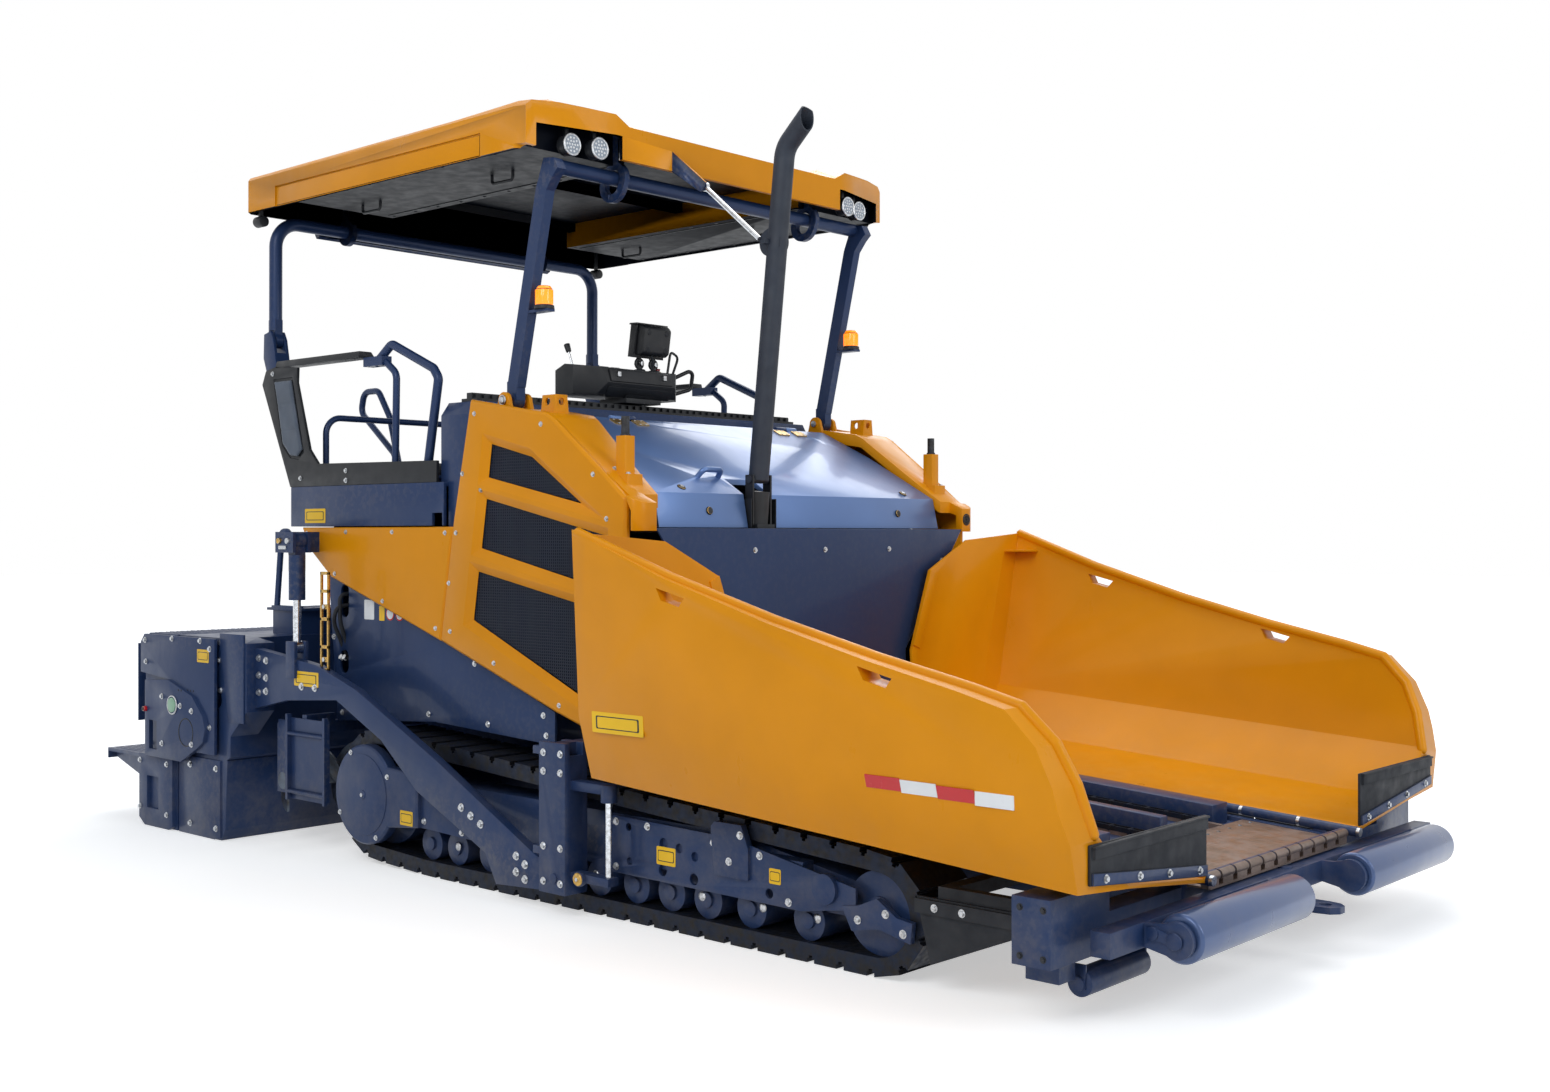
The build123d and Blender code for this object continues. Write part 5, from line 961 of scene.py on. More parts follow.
class PAVER_OT_hopper(bpy.types.Operator):
    """Hinge tubes, chains, bolts and bars of the hopper and its wings"""

    bl_idname = "paver.hopper"
    bl_label = "Hopper"

    def execute(self, context):
        for side, sign in SIDES:
            self.wing(side, sign)
        self.chains()
        self.mouth()
        return {"FINISHED"}

    def hinge_line(self, x):
        """Height of the wings' hinge at a place along it."""
        rear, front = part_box("wing_right")[0][0] + 0.07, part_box("wing_right")[1][0] - 0.07
        first, last = (seen("wing_right", "top", end, -0.68)[0] for end in (rear, front))
        share = (x - first.x) / (last.x - first.x)
        return first.z + (last.z - first.z) * share

    def wing(self, side, sign):
        node = f"wing_{side}"
        body = body_of(node)
        low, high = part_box(node)
        hinge_y = min(abs(low[1]), abs(high[1])) + 0.018
        tubes, joints = [], []
        for index in range(9):
            x = low[0] + 0.10 + index * 0.262
            z = self.hinge_line(x)
            run = Vector((0.1, 0, self.hinge_line(x + 0.1) - z)).normalized()
            spot = Vector((x, sign * hinge_y, z - 0.008))
            tubes.append((spot, run, (0.0215, 0.0215, 0.246)))
            joints.append((spot + run * 0.131, run, (0.0198, 0.0198, 0.014)))
        repeated(f"wing_hinge_{side}", body, "rod", "slate", tubes)
        repeated(f"wing_hinge_joints_{side}", body, "rod", "zinc", joints)
        self.lip(side, sign, body)

    def lip(self, side, sign, body):
        """Rubber lip with its top edge bent forward, clamped by a bolted bar along its foot."""
        node = f"wing_lip_{side}"
        (back, _, _), (front, _, top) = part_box(node)
        back += 0.001
        inner, outer, base, slope = 0.685, 1.465, 0.414, 0.1087
        foot = ((inner, base), (1.20, 0.470), (outer, 0.500))
        bar = [(y, z + 0.002) for y, z in foot] + [(y, z + 0.042) for y, z in reversed(foot)]
        bent = ((inner, top), (outer, top - 0.004), (outer, top - 0.012), (inner, top - 0.008))
        lip = Shape()
        for outline, start, end, finish, soft in (
            (((inner, top), *foot, (outer, top - 0.004)), back, back + 0.010, "rubber", 0.003),
            (bar, back + 0.010, back + 0.018, "slate", 0.0015),
            (bent, back + 0.008, front + 0.004, "rubber", 0.002),
        ):
            lip.prism([(sign * y, z) for y, z in outline], "x", start, end, finish, soft)
        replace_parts(lip.done(f"lip_{side}", body), node)
        bolts = []
        for share in (0.08, 0.36, 0.62, 0.9):
            y = inner + share * (outer - inner)
            z = base + (y - inner) * slope + 0.024
            bolts.append(((back + 0.0175, sign * y, z), (1, 0, 0), (0.010,) * 3, (0, 0.5, 0.8)))
        repeated(f"lip_bolts_{side}", body, "bolt", "zinc", bolts)

    def chains(self):
        """Rollers and side links of the conveyor chains."""
        body = body_of("conveyors")
        low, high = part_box("conveyors")
        pitch = 0.09
        links, pins = [], []
        for sign in SIGNS:
            for chain_y in (0.075, 0.385):
                y = sign * chain_y
                for index in range(int((high[0] - low[0] - 0.1) / pitch)):
                    x = low[0] + 0.06 + index * pitch
                    spot = seen("conveyors", "top", x, y)[0]
                    later = seen("conveyors", "top", x + 0.03, y)[0]
                    smooth = abs(later.z - spot.z) < 0.012
                    run = (later - spot).normalized() if smooth else Vector((1, 0, -0.05))
                    pins.append((spot + Vector((0, 0, 0.004)), (0, 1, 0), (0.011, 0.011, 0.046)))
                    for across in (-0.017, 0.017):
                        centre = spot + run * (pitch / 2) + Vector((0, across, 0.005))
                        links.append((centre, run, (0.020, 0.005, 0.082), (0, 0, 1)))
        repeated("chain_rollers", body, "rod", "track", pins)
        repeated("chain_links", body, "bar", "track", links)

    def mouth(self):
        """Bolts along the bare plate and the tube segments of the front hinge."""
        body = body_of("hopper_sill")
        low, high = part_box("hopper_sill")
        hinge_x, hinge_z, spacing = high[0] - 0.026, 0.388, 0.114
        hinge = [((hinge_x, k * spacing, hinge_z), (0, 1, 0), (0.0205, 0.0205, 0.106)) for k in range(-5, 6)]
        bolts = []
        for index in range(12):
            spot, normal = seen("hopper_sill", "top", low[0] + 0.05, -0.53 + index * 1.06 / 11)
            bolts.append((spot - normal * 0.0005, normal, (0.009, 0.009, 0.004)))
        repeated("mouth_hinge", body, "rod", "slate", hinge)
        repeated("mouth_bolts", body, "dome", "flight", bolts)


class PAVER_OT_hood(bpy.types.Operator):
    """Brass hinges, latches, gasket and notch cover of the hood, horn, stakes, pins and beacons"""

    bl_idname = "paver.hood"
    bl_label = "Hood and fenders"

    def execute(self, context):
        self.hood_trim()
        self.fender_trim()
        self.beacons()
        return {"FINISHED"}

    def hood_trim(self):
        body = body_of("hood")
        trim = Shape()
        for sign in SIGNS:
            for y in (0.66, 0.52):
                hinge = seen("hood", "top", 0.115, sign * y)
                trim.tile(*hinge, (1, 0, 0), (0.085, 0.060), 0.005, "brass", 0.006)
            latch = seen("hood", "top", 0.70, sign * 0.82)
            trim.stud(latch, -0.001, 0.006, 0.022, "plastic", 0.019, 20, 0.001)
            trim.stud(latch, 0.005, 0.009, 0.009, "zinc", None, 16)
            stop = seen("hood", "front", sign * 0.70, 1.74)
            trim.stud(stop, -0.001, 0.008, 0.020, "plastic", 0.017, 20, 0.001)
        trim.done("hood_trim", body)
        screws = []
        for sign in SIGNS:
            for y in (0.50, 0.54, 0.64, 0.68):
                for x in (0.095, 0.135):
                    spot, normal = seen("hood", "top", x, sign * y)
                    screws.append((spot + normal * 0.005, normal, (0.006, 0.006, 0.003)))
        repeated("hood_hinge_screws", body, "dome", "zinc", screws)
        fixed = Shape()
        for y in (-0.445, -0.2755):
            fixed.box((0.700, y, 1.664), (0.785, y + 0.0035, 1.80), "plastic")
        fixed.box((0.772, -1.035, 1.652), (0.780, 1.035, 1.661), "rubber", 0.002)
        fixed.done("hood_gasket", body_of("exhaust_socket"))

    def fender_trim(self):
        body = body_of("fenders")
        trim = Shape()
        stake_x, stake_y = 0.658, 1.125
        pin_x, pin_z = -0.102, 2.26
        for sign in SIGNS:
            # dark rod standing in the stake's yellow tube, with its collar
            y = sign * stake_y
            for size, bottom, top in ((0.0185, 2.066, 2.152), (0.023, 2.060, 2.074)):
                trim.rod((stake_x, y, bottom), (stake_x, y, top), size, "cast", None, 20, 0.001)
            # bright pin through the clevis of the front post
            for near, far in ((1.196, 1.204), (1.036, 1.042)):
                ends = ((pin_x, sign * y, pin_z) for y in (near, far))
                trim.rod(*ends, 0.0185, "zinc", 0.0165, 20, 0.001)
            trim.ring((pin_x, sign * 1.199, pin_z), (0, 1, 0), 0.022, 0.003, "zinc", 24)
        trim.done("fender_trim", body)
        # horn behind rings and spokes in the nose of the left fender
        spot, normal = seen("fenders", "front", 1.166, 1.712)
        centre = spot + normal * 0.002
        rings = [(centre, normal, (radius,) * 3) for radius in (0.011, 0.020, 0.029)]
        spokes = []
        for k in range(6):
            t = math.pi * k / 6
            spokes.append((centre, Vector((0, math.cos(t), math.sin(t))), (0.004, 0.004, 0.058), normal))
        repeated("horn_rings", body, "ring", "plastic", rings, 0.1)
        repeated("horn_spokes", body, "bar", "plastic", spokes)

    def beacons(self):
        piece = Shape()
        ribs = []
        low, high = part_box("beacons")
        x, base = (low[0] + high[0]) / 2, low[2]
        for sign in SIGNS:
            y = sign * (high[1] - (high[0] - low[0]) / 2)
            for start, end, radius, finish, far_radius in (
                (0.0, 0.018, 0.048, "plastic", 0.046),
                (0.018, 0.092, 0.041, "amber", 0.039),
                (0.092, 0.108, 0.039, "amber", 0.028),
            ):
                piece.rod((x, y, base + start), (x, y, base + end), radius, finish, far_radius, 32, 0.002)
            for k in range(28):
                t = 2 * math.pi * k / 28
                out = Vector((math.cos(t), math.sin(t), 0))
                place = Vector((x, y, base + 0.055)) + out * 0.0402
                ribs.append((place, (0, 0, 1), (0.003, 0.003, 0.066), out))
        body = body_of("beacons")
        piece = piece.done("beacon_lamps", body)
        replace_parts(piece, "beacons")
        repeated("beacon_ribs", body, "bar", "amber", ribs)


CLOTH_FRAMES = 20
CLOTH_PRESSURE = 4.0


def cushion(name, outline, axis, start, end, finish, voxel, swell):
    """A pad blown up by a cloth simulation from a shape a little smaller than its place."""
    form = Shape()
    form.prism(outline, axis, start, end, finish, min(abs(end - start) * 0.3, 0.016))
    mesh = bpy.data.meshes.new(name)
    form.form.to_mesh(mesh)
    form.form.free()
    piece = placed(name, mesh)
    cells = piece.modifiers.new("cells", "REMESH")
    cells.mode, cells.voxel_size = "VOXEL", voxel
    mesh = plain(piece)
    cloth = piece.modifiers.new("skin", "CLOTH")
    cloth.settings.use_pressure = True
    cloth.settings.uniform_pressure_force = CLOTH_PRESSURE
    cloth.settings.effector_weights.gravity = 0.0
    cloth.point_cache.frame_start, cloth.point_cache.frame_end = 1, CLOTH_FRAMES
    scene = bpy.context.scene
    for step in range(1, CLOTH_FRAMES + 1):
        scene.frame_set(step)
        blown = piece.evaluated_get(bpy.context.evaluated_depsgraph_get()).data
        spots = [vertex.co.copy() for vertex in blown.vertices]
    drift = sum((new - old.co for new, old in zip(spots, mesh.vertices)), Vector()) / len(spots)
    piece.modifiers.clear()
    for vertex, spot in zip(mesh.vertices, spots):
        move = spot - vertex.co - drift
        if move.length > swell:
            move *= swell / move.length
        vertex.co += move
    scene.frame_set(1)
    smooth = piece.modifiers.new("smooth", "SMOOTH")
    smooth.factor, smooth.iterations = 0.5, 6
    mesh = plain(piece)
    mesh.materials.clear()
    mesh.materials.append(MATERIALS[finish])
    mesh.shade_smooth()
    return piece


def channels(piece, lines, depth, width):
    """Sewn channels: the skin is drawn in near each line, which is an axis and a place along it."""
    for vertex in piece.data.vertices:
        pull = 0.0
        for axis, place in lines:
            pull = max(pull, math.exp(-(((vertex.co[axis] - place) / width) ** 2)))
        vertex.co -= vertex.normal * depth * pull


class PAVER_OT_cushions(bpy.types.Operator):
    """Seat cushions with piped seams and sewn channels, and the pads in the side boards"""

    bl_idname = "paver.cushions"
    bl_label = "Cushions"

    def execute(self, context):
        sizes = context.scene.paver_sizes
        self.seats(sizes)
        self.board_pads()
        return {"FINISHED"}

    def seats(self, sizes):
        body = body_of("seats")
        low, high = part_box("seats")
        pan = high[2] - 0.084
        frame_parts = Shape()
        for side, sign in SIDES:
            inner, outer = sorted((sign * (high[1] - 0.48), sign * high[1]))
            x0, x1 = low[0] + 0.012, high[0] - 0.012
            outline = (
                (x0, inner + 0.03), (x0 + 0.03, inner + 0.012), (x1 - 0.03, inner + 0.012), (x1, inner + 0.03),
                (x1, outer - 0.03), (x1 - 0.03, outer - 0.012), (x0 + 0.03, outer - 0.012), (x0, outer - 0.03),
            )
            name, low_z, top_z = f"seat_cushion_{side}", pan + 0.020, pan + 0.068
            seat = cushion(name, outline, "z", low_z, top_z, "vinyl", sizes.voxel, sizes.swell)
            middle = (inner + outer) / 2
            channels(seat, [(1, middle - 0.09), (1, middle + 0.09), (0, x0 + 0.13)], 0.005, 0.008)
            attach(seat, body)
            seam = Shape()
            ring = [(a, b, pan + 0.044) for a, b in outline]
            centre = Vector((sum(p[0] for p in ring) / 8, sum(p[1] for p in ring) / 8, pan + 0.044))
            grown = [centre + (Vector(p) - centre) * 1.012 for p in ring]
            seam.pipe([*grown, grown[0]], 0.0035, "plastic", 0.02, 8)
            seam.done(f"seat_seam_{side}", body)
            for x in (low[0] + 0.05, low[0] + 0.35):
                frame_parts.box((x, inner + 0.06, low[2]), (x + 0.05, outer - 0.06, pan), "slate", 0.004)
            frame_parts.box((low[0], inner, pan), (high[0], outer, pan + 0.016), "slate", 0.004)
            for y in (inner + 0.08, outer - 0.08):
                z = low[2] + 0.05
                frame_parts.rod((low[0] + 0.04, y, z), (high[0] - 0.05, y, z), 0.008, "zinc")
        piece = frame_parts.done("seat_frames", body)
        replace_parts(piece, "seats")

    def board_pads(self):
        body = body_of("side_boards")
        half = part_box("side_boards")[1][1]
        outline = (
            (-1.700, 2.080), (-1.808, 2.460), (-1.974, 2.460), (-1.892, 2.116), (-1.818, 2.050), (-1.748, 2.042),
        )
        back = half - 0.0076
        for side, sign in SIDES:
            start, end = sign * (half - 0.0075), sign * (half + 0.004)
            pad = cushion(f"board_pad_{side}", outline, "y", start, end, "pad", 0.004, 0.005)
            for vertex in pad.data.vertices:
                if sign * vertex.co.y < back:
                    vertex.co.y = sign * back
            channels(pad, [(2, 2.19), (2, 2.33)], 0.0022, 0.006)
            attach(pad, body)


class PAVER_OT_console(bpy.types.Operator):
    """Screen, levers, buttons, dials and housing of the console"""

    bl_idname = "paver.console"
    bl_label = "Console"

    def execute(self, context):
        body = body_of("console")
        piece = Shape()
        # screen in its bezel, facing the operator
        spot, normal = touch("console", (-1.4, 0.059, 2.66), (1, 0, 0))
        piece.tile(spot, normal, (0, 0, 1), (0.190, 0.140), 0.004, "plastic", 0.01)
        piece.tile(spot + normal * 0.002, normal, (0, 0, 1), (0.165, 0.112), 0.0035, "screen", 0.004)
        bars = []
        for k in range(5):
            place = spot + normal * 0.0056 + Vector((0, -0.05 + k * 0.024, -0.02))
            bars.append((place, (0, 0, 1), (0.012, 0.0006, 0.03), (0, 1, 0)))
        repeated("screen_bars", body, "bar", "green", bars)
        # desk face: dials, rows of push buttons, two short levers and an emergency stop
        buttons = []
        for row in range(3):
            for column in range(9):
                start = (-0.64 + row * 0.035, -0.30 + column * 0.055, 3.2)
                spot, normal = touch("console", start, (0, 0, -1))
                buttons.append((spot, normal, (0.010, 0.010, 0.006)))
        repeated("console_buttons", body, "dome", "white", buttons[0::3])
        repeated("console_buttons_dark", body, "dome", "slate", buttons[1::3])
        repeated("console_buttons_amber", body, "dome", "amber", buttons[2::3])
        for y, tall in ((-0.36, 0.10), (0.245, 0.085)):
            lever = touch("console", (-0.56, y, 3.2), (0, 0, -1))
            piece.stud(lever, -0.002, 0.012, 0.024, "rubber", 0.012, 20)
            piece.stud(lever, 0.01, tall, 0.006, "chrome", None, 12)
            piece.stud(lever, tall - 0.01, tall + 0.035, 0.014, "plastic", 0.017, 16, 0.004)
        stop = touch("console", (-0.50, 0.19, 3.2), (0, 0, -1))
        piece.stud(stop, -0.001, 0.006, 0.022, "label", None, 24, 0.001)
        piece.stud(stop, 0.005, 0.022, 0.015, "red", 0.017, 24, 0.002)
        for y in (-0.18, -0.10):
            dial = touch("console", (-0.52, y, 3.2), (0, 0, -1))
            piece.stud(dial, -0.001, 0.005, 0.028, "zinc", 0.026, 28, 0.001)
            piece.stud(dial, 0.0045, 0.006, 0.024, "screen", None, 28)
        piece.done("console_controls", body)
        self.housing(body)
        return {"FINISHED"}

    def housing(self, body):
        """The screen's rear shell and visor, its jointed stalks, the desk's front panel and lamp loop."""
        shell = Shape()
        back = ((-0.432, 2.590), (-0.392, 2.583), (-0.370, 2.600), (-0.350, 2.722), (-0.366, 2.744), (-0.404, 2.750))
        visor = ((-0.462, 2.752), (-0.455, 2.760), (-0.396, 2.758), (-0.398, 2.748))
        shell.prism(back, "y", -0.040, 0.158, "plastic", 0.010)
        shell.prism(visor, "y", -0.056, 0.174, "plastic", 0.003)
        for y in (-0.006, 0.124):
            for x, z in ((-0.3735, 2.618), (-0.3585, 2.706)):
                near, far = (x - 0.012, y, z + 0.002), (x + 0.008, y, z - 0.001)
                shell.rod(near, far, 0.019, "rubber", 0.016, 18, 0.002)
        for y in (-0.003, 0.100):
            shell.ring((-0.440, y + 0.003, 2.545), (1, 0, 0), 0.024, 0.009, "plastic", 20)
            shell.rod((-0.466, y + 0.003, 2.545), (-0.414, y + 0.003, 2.545), 0.014, "zinc", None, 12, 0.002)
            foot, head = (-0.432, y - 0.002, 2.488), (-0.434, y - 0.001, 2.512)
            shell.rod(foot, head, 0.040, "rubber", 0.030, 20, 0.003)
        # front of the desk: a raised panel, a lower lip and two latches
        panel = ((-0.350, 2.424), (-0.337, 2.428), (-0.352, 2.492), (-0.366, 2.494))
        shell.prism(panel, "y", -0.292, 0.152, "plastic", 0.004)
        lower_lip = ((-0.392, 2.352), (-0.352, 2.402), (-0.348, 2.398), (-0.384, 2.350))
        shell.prism(lower_lip, "y", -0.30, 0.16, "plastic", 0.001)
        for y in (-0.235, 0.095):
            shell.box((-0.349, y - 0.014, 2.452), (-0.338, y + 0.014, 2.482), "zinc", 0.003)
        loop = ((-0.455, 0.262, 2.50), (-0.430, 0.285, 2.60), (-0.410, 0.205, 2.625), (-0.420, 0.190, 2.50))
        shell.pipe(loop, 0.007, "plastic", 0.03, 10)
        cable = ((-0.400, 0.045, 2.60), (-0.375, 0.045, 2.55), (-0.395, 0.045, 2.49))
        shell.pipe(cable, 0.006, "rubber", 0.03, 8)
        shell.done("console_housing", body)


class PAVER_OT_treads(bpy.types.Operator):
    """Raised chequer pattern on the steps, the walkways, the screed's top and the platform"""

    bl_idname = "paver.treads"
    bl_label = "Tread plates"

    def execute(self, context):
        pitch = 0.032
        for node, x_range, y_range, mirrored in (
            ("screed_box", (-2.31, -2.05), (0.36, 1.06), True),
            ("extension_right", (-3.41, -3.00), (-1.44, -0.05), False),
            ("extension_left", (-3.41, -3.00), (0.05, 1.44), False),
            ("extension_right", (-2.87, -2.56), (-1.48, -0.10), False),
            ("extension_left", (-2.87, -2.56), (0.10, 1.48), False),
            ("platform", (-1.70, -0.60), (-1.10, 1.10), False),
        ):
            rows = []
            columns = int((x_range[1] - x_range[0]) / pitch)
            across = int((y_range[1] - y_range[0]) / pitch)
            for sign in (1, -1) if mirrored else (1,):
                top = seen(node, "top", sum(x_range) / 2, sign * (sum(y_range) / 2 + 0.013))[0].z
                for i in range(columns):
                    for j in range(across):
                        x, y = x_range[0] + pitch / 2 + i * pitch, y_range[0] + pitch / 2 + j * pitch
                        place = (x, sign * y, top)
                        lean = (1, 0.7, 0) if (i + j) % 2 else (1, -0.7, 0)
                        rows.append((place, (0, 0, 1), (0.024, 0.006, 0.0024), lean))
            name = f"tread_{node}_{int(-x_range[0] * 100)}"
            repeated(name, body_of(node), "bar", "slate", rows)
        return {"FINISHED"}


class PAVER_OT_screed(bpy.types.Operator):
    """End plates' fittings, hinge blocks, hoses and pins of the screed and its lift"""

    bl_idname = "paver.screed"
    bl_label = "Screed"

    def execute(self, context):
        for side, sign in SIDES:
            self.end(side, sign)
            self.lift(side, sign)
        self.hoses()
        return {"FINISHED"}

    def end(self, side, sign):
        node = f"extension_{side}"
        body = body_of(node)
        trim = Shape()
        gauge = seen(node, side, -2.50, 0.70)
        trim.stud(gauge, -0.001, 0.005, 0.040, "green", None, 32, 0.001)
        trim.ring(*gauge, 0.049, 0.004, "zinc", 32)
        trim.ring(*seen(node, side, -2.36, 0.56), 0.075, 0.003, "plastic", 36)
        socket = seen(node, side, -2.80, 0.66)
        trim.stud(socket, -0.001, 0.018, 0.016, "red", 0.013, 20, 0.001)
        trim.stud(socket, 0.016, 0.022, 0.009, "plastic", None, 16)
        for z in (0.665, 0.915):
            trim.box((-2.978, sign * 1.44 - 0.02, z), (-2.930, sign * 1.44 + 0.02, z + 0.045), "brass", 0.003)
        trim.done(f"screed_fittings_{side}", body)
        places = (
            (-2.85, 1.04), (-2.55, 1.06), (-2.25, 1.06), (-2.15, 1.02), (-2.15, 0.60), (-2.30, 0.50), (-2.84, 0.92),
            (-2.84, 0.46), (-2.62, 0.74), (-2.42, 0.70), (-2.30, 0.68), (-2.62, 0.48), (-2.62, 0.36), (-2.92, 0.36),
            (-2.62, 0.08), (-2.92, 0.10),
        )
        bolts = [bolt_at(seen(node, side, x, z), 0.011) for x, z in places]
        repeated(f"screed_end_bolts_{side}", body, "bolt", "zinc", bolts)
        # black rubber domes where the end plate has a row of holes: painted shade for the holes' dark insides
        hole_shade_dots = [(*seen(node, side, -2.44 + k * 0.030, 0.785), (0.006, 0.006, 0.0016)) for k in range(5)]
        repeated(f"screed_end_hole_shade_dots_{side}", body, "dome", "rubber", hole_shade_dots)

    def lift(self, side, sign):
        """Bright pins with keepers at the head of the lift cylinder, and its gauge plate with slots."""
        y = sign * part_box("lift_brackets")[1][1]
        pins = Shape()
        for x, z, finish in ((-1.481, 1.600, "zinc"), (-1.560, 1.600, "brass")):
            pins.rod((x, y - sign * 0.002, z), (x, y + sign * 0.012, z), 0.0165, finish, 0.0145, 20, 0.001)
        keeper = (-1.53, y + sign * 0.001, 1.566)
        pins.tile(keeper, (0, sign, 0), (0, 0, 1), (0.07, 0.018), 0.004, "zinc", 0.003)
        pins.done(f"lift_pins_{side}", body_of("lift_brackets"))
        gauge = Shape()
        y0, y1 = sorted((sign * 1.414, sign * 1.426))
        for x in (-1.262, -1.202):
            gauge.box((x, y0, 0.945), (x + 0.012, y1, 1.444), "brass", 0.001)
        for z in (0.945, 1.06, 1.20, 1.34, 1.43):
            gauge.box((-1.262, y0, z), (-1.190, y1, z + 0.016), "brass", 0.001)
        for z in (1.005, 1.27):
            gauge.rod((-1.226, sign * 1.410, z), (-1.226, sign * 1.432, z), 0.012, "zinc", None, 6)
            gauge.box((-1.256, y0 + 0.002, z - 0.012), (-1.196, y1 - 0.002, z + 0.012), "brass", 0.001)
        gauge.done(f"gauge_plate_{side}", body_of("tow_arms"))

    def hoses(self):
        """Hoses from the skirts' slots to the lift and the screed, held by clips on the tractor."""
        for side, sign in SIDES:
            runs = Shape()
            x, inner = -1.377, sign * 1.16
            for index, z in enumerate((1.33, 1.27)):
                outer, back = sign * (1.235 + index * 0.02), x - index * 0.03
                path = ((x, inner, z), (x, outer, z - 0.01), (back, outer, 1.18), (back, inner, 0.98))
                runs.pipe(path, 0.0105, "rubber", 0.05, 12)
            for x in (-1.407, -1.377):
                runs.rod((x, sign * 1.196, 0.99), (x, sign * 1.212, 1.0), 0.014, "zinc", None, 12)
            runs.done(f"hoses_{side}", body_of("skirts"))


class PAVER_OT_running_gear(bpy.types.Operator):
    """Drive hubs with their screws, roller caps, sensor wheels and levelling rods"""

    bl_idname = "paver.running_gear"
    bl_label = "Running gear"

    def execute(self, context):
        body = body_of("final_drives")
        hub_x, hub_z, screw_circle = -0.9453, 0.3517, 0.226
        screws, caps = [], []
        trim = Shape()
        for side, sign in SIDES:
            hub = seen("final_drives", side, hub_x, hub_z)
            trim.stud(hub, -0.001, 0.004, 0.024, "slate", 0.021, 32, 0.001)
            trim.stud(hub, 0.003, 0.010, 0.010, "zinc", None, 6)
            for degrees in (-62, 28, 118, 208):
                t = math.radians(degrees)
                x, z = hub_x + screw_circle * math.cos(t), hub_z + screw_circle * math.sin(t)
                screws.append(bolt_at(seen("final_drives", side, x, z), 0.009))
            for x in (-0.30, 0.18, 0.66, 1.30, 1.62, 1.90):
                caps.append((*seen("track_frames", side, x, 0.165), (0.020, 0.020, 0.008)))
        trim.done("drive_hubs", body)
        repeated("drive_screws", body, "bolt", "zinc", screws)
        repeated("roller_caps", body_of("track_frames"), "dome", "zinc", caps)
        gear = Shape()
        for sign in SIGNS:
            wheel = Vector((0.737, sign * 1.472, 0.182)), Vector((0, sign, 0))
            gear.stud(wheel, -0.001, 0.006, 0.029, "brass", 0.026, 28, 0.002)
            gear.stud(wheel, 0.005, 0.010, 0.009, "zinc", None, 6)
            gear.rod((0.874, sign * 1.42, 0.20), (0.874, sign * 1.42, 0.512), 0.0156, "chrome", None, 24)
        gear.done("levelling_fittings", body_of("tow_guides"))
        return {"FINISHED"}


class PAVER_OT_rollers(bpy.types.Operator):
    """End caps and weld beads of the push rollers and the front beam"""

    bl_idname = "paver.rollers"
    bl_label = "Push rollers"

    def execute(self, context):
        for side in ("right", "left"):
            node = f"push_roller_{side}"
            low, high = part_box(node)
            x, z, radius = (low[0] + high[0]) / 2, (low[2] + high[2]) / 2, (high[2] - low[2]) / 2
            rings = []
            for y in (low[1] + 0.004, high[1] - 0.004):
                for share in (0.86, 0.5):
                    rings.append(((x, y, z), (0, 1, 0), (radius * share,) * 3))
            repeated(f"roller_beads_{side}", body_of(node), "ring", "roller", rings, 0.035)
        body = body_of("push_beam")
        low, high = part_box("push_beam")
        trim = Shape()
        for side in ("right", "left"):
            end = seen("push_beam", side, high[0] - 0.063, (low[2] + high[2]) / 2)
            trim.stud(end, -0.001, 0.004, 0.030, "slate", 0.027, 28, 0.001)
        trim.done("roller_caps_front", body)
        return {"FINISHED"}


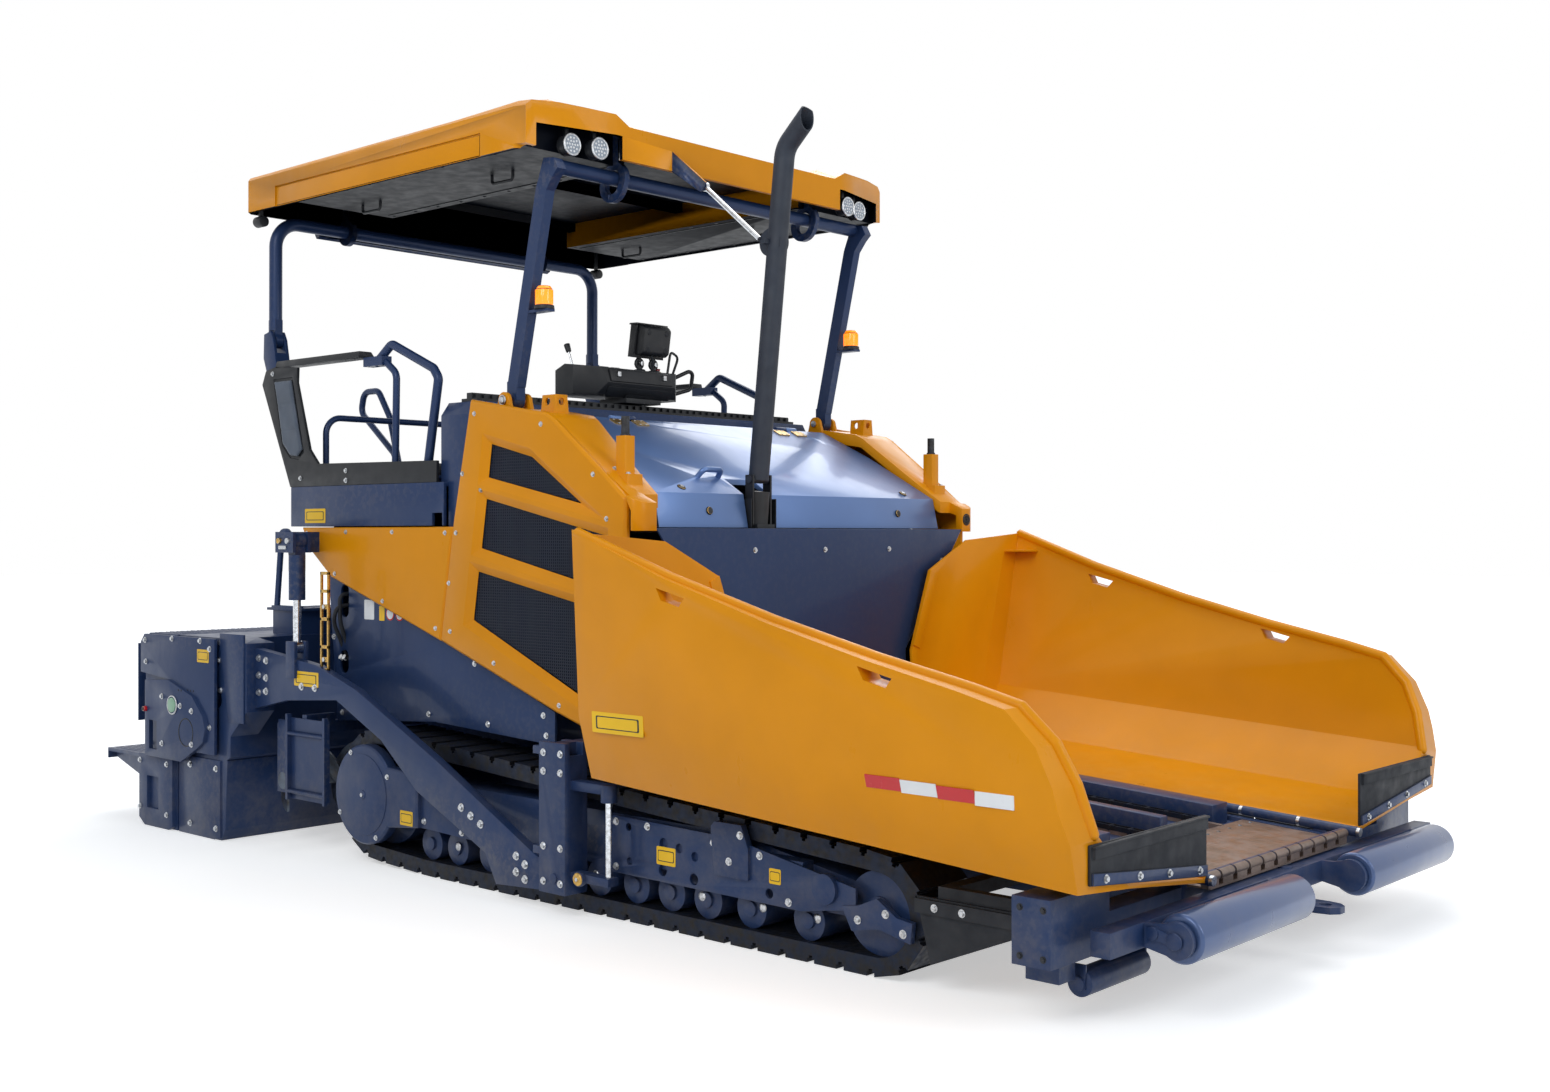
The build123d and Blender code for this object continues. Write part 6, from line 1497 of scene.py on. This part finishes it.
# ---------------------------------------------------------------- stage
class PAVER_OT_stage(bpy.types.Operator):
    """Set the floor, the lamps, the world and the camera"""

    bl_idname = "paver.stage"
    bl_label = "Stage"

    def execute(self, context):
        scene = context.scene
        stage = scene.paver_stage
        scene.view_settings.view_transform = "Standard"
        self.make_world(scene, stage.sky)
        self.make_floor()
        for name, place, size, power in (
            ("key", (3.5, -8.5, 7.0), 6.0, 620),
            ("front", (10.0, 1.0, 5.0), 5.0, 330),
            ("top", (-1.0, 2.0, 9.5), 8.0, 520),
            ("rear", (-4.8, 8.0, 7.2), 6.0, 360),
        ):
            lamp = bpy.data.lights.new(name, "AREA")
            lamp.shape, lamp.size, lamp.energy = "DISK", size, power * stage.lamps
            lamp_object = placed(name, lamp)
            lamp_object.location = place
            aim = Vector((0.2, 0, 1.2)) - Vector(place)
            lamp_object.rotation_euler = aim.to_track_quat("-Z", "Y").to_euler()
        camera = bpy.data.cameras.new("camera")
        camera.sensor_width, camera.lens, camera.shift_y = 36, stage.lens, stage.rise
        camera.clip_end = 100
        camera_object = placed("camera", camera)
        camera_object.location = stage.eye
        camera_object.rotation_euler = (math.pi / 2, 0, stage.heading)
        scene.camera = camera_object
        return {"FINISHED"}

    def show_white(self, tree, shader, out):
        """White to the camera, to gloss and through glass, and the shader to all other light."""
        rays = tree.nodes.new("ShaderNodeLightPath")
        shown = rays.outputs["Is Camera Ray"]
        for label in ("Is Glossy Ray", "Is Transmission Ray"):
            either = tree.nodes.new("ShaderNodeMath")
            either.operation = "MAXIMUM"
            tree.links.new(shown, either.inputs[0])
            tree.links.new(rays.outputs[label], either.inputs[1])
            shown = either.outputs[0]
        choice = tree.nodes.new("ShaderNodeMixShader")
        tree.links.new(shown, choice.inputs[0])
        tree.links.new(shader, choice.inputs[1])
        tree.links.new(choice.outputs[0], out.inputs[0])
        return choice.inputs[2]

    def make_world(self, scene, strength):
        world = bpy.data.worlds.new("studio")
        scene.world = world
        world.use_nodes = True
        tree = world.node_tree
        tree.nodes.clear()
        out = tree.nodes.new("ShaderNodeOutputWorld")
        sky, white = (tree.nodes.new("ShaderNodeBackground") for _ in range(2))
        sky.inputs[0].default_value = (0.80, 0.90, 1.0, 1)
        sky.inputs[1].default_value = strength
        white.inputs[0].default_value = (1, 1, 1, 1)
        tree.links.new(white.outputs[0], self.show_white(tree, sky.outputs[0], out))

    def make_floor(self):
        floor_half, floor_z = 60.0, -0.002
        mesh = bpy.data.meshes.new("floor")
        corners = [(x * floor_half, y * floor_half, floor_z) for x, y in ((-1, -1), (1, -1), (1, 1), (-1, 1))]
        mesh.from_pydata(corners, [], [(0, 1, 2, 3)])
        floor = placed("floor", mesh)
        n = Nodes("floor_pale")
        n.look(base_color=n.mix(n.noise(0.8), (0.78, 0.78, 0.78), (0.82, 0.82, 0.82)), roughness=0.9)
        # what the camera sees is the floor's own shaded surface with a glow that grows outwards
        reach = n.add("ShaderNodeVectorMath", {0: n.place()}, operation="LENGTH").outputs["Value"]
        both = n.add("ShaderNodeAddShader")
        strength = n.ramp(reach, 3.5, 12.0, 0.5, 0.85)
        glow = n.add("ShaderNodeEmission", {"Color": (1, 1, 1, 1), "Strength": strength})
        n.set(both, 0, n.shader)
        n.set(both, 1, glow)
        n.tree.links.new(both.outputs[0], self.show_white(n.tree, n.shader.outputs[0], n.out))
        mesh.materials.append(n.material)


class PAVER_PT_panel(bpy.types.Panel):
    """Settings and pieces of the paver"""

    bl_label = "Asphalt paver"
    bl_idname = "PAVER_PT_panel"
    bl_space_type = "VIEW_3D"
    bl_region_type = "UI"
    bl_category = "Paver"

    def draw(self, context):
        for group in (context.scene.paver_colours, context.scene.paver_sizes, context.scene.paver_stage):
            box = self.layout.box()
            for name in group.__annotations__:
                box.prop(group, name)
        for operator in OPERATORS:
            self.layout.operator(operator.bl_idname)


OPERATORS = (
    PAVER_OT_finishes, PAVER_OT_edges, PAVER_OT_roof, PAVER_OT_grilles, PAVER_OT_fasteners,
    PAVER_OT_labels, PAVER_OT_hopper, PAVER_OT_hood, PAVER_OT_cushions, PAVER_OT_console, PAVER_OT_treads,
    PAVER_OT_screed, PAVER_OT_running_gear, PAVER_OT_rollers, PAVER_OT_stage,
)
GROUPS = (("paver_colours", PaverColours), ("paver_sizes", PaverSizes), ("paver_stage", PaverStage))


def register():
    for name, group in GROUPS:
        bpy.utils.register_class(group)
        setattr(bpy.types.Scene, name, bpy.props.PointerProperty(type=group))
    for kind in (*OPERATORS, PAVER_PT_panel):
        bpy.utils.register_class(kind)


def unregister():
    for kind in reversed((*OPERATORS, PAVER_PT_panel)):
        bpy.utils.unregister_class(kind)
    for name, group in reversed(GROUPS):
        delattr(bpy.types.Scene, name)
        bpy.utils.unregister_class(group)


def main():
    register()
    for operator in OPERATORS:
        group, name = operator.bl_idname.split(".")
        getattr(getattr(bpy.ops, group), name)()


if __name__ == "__main__":
    main()
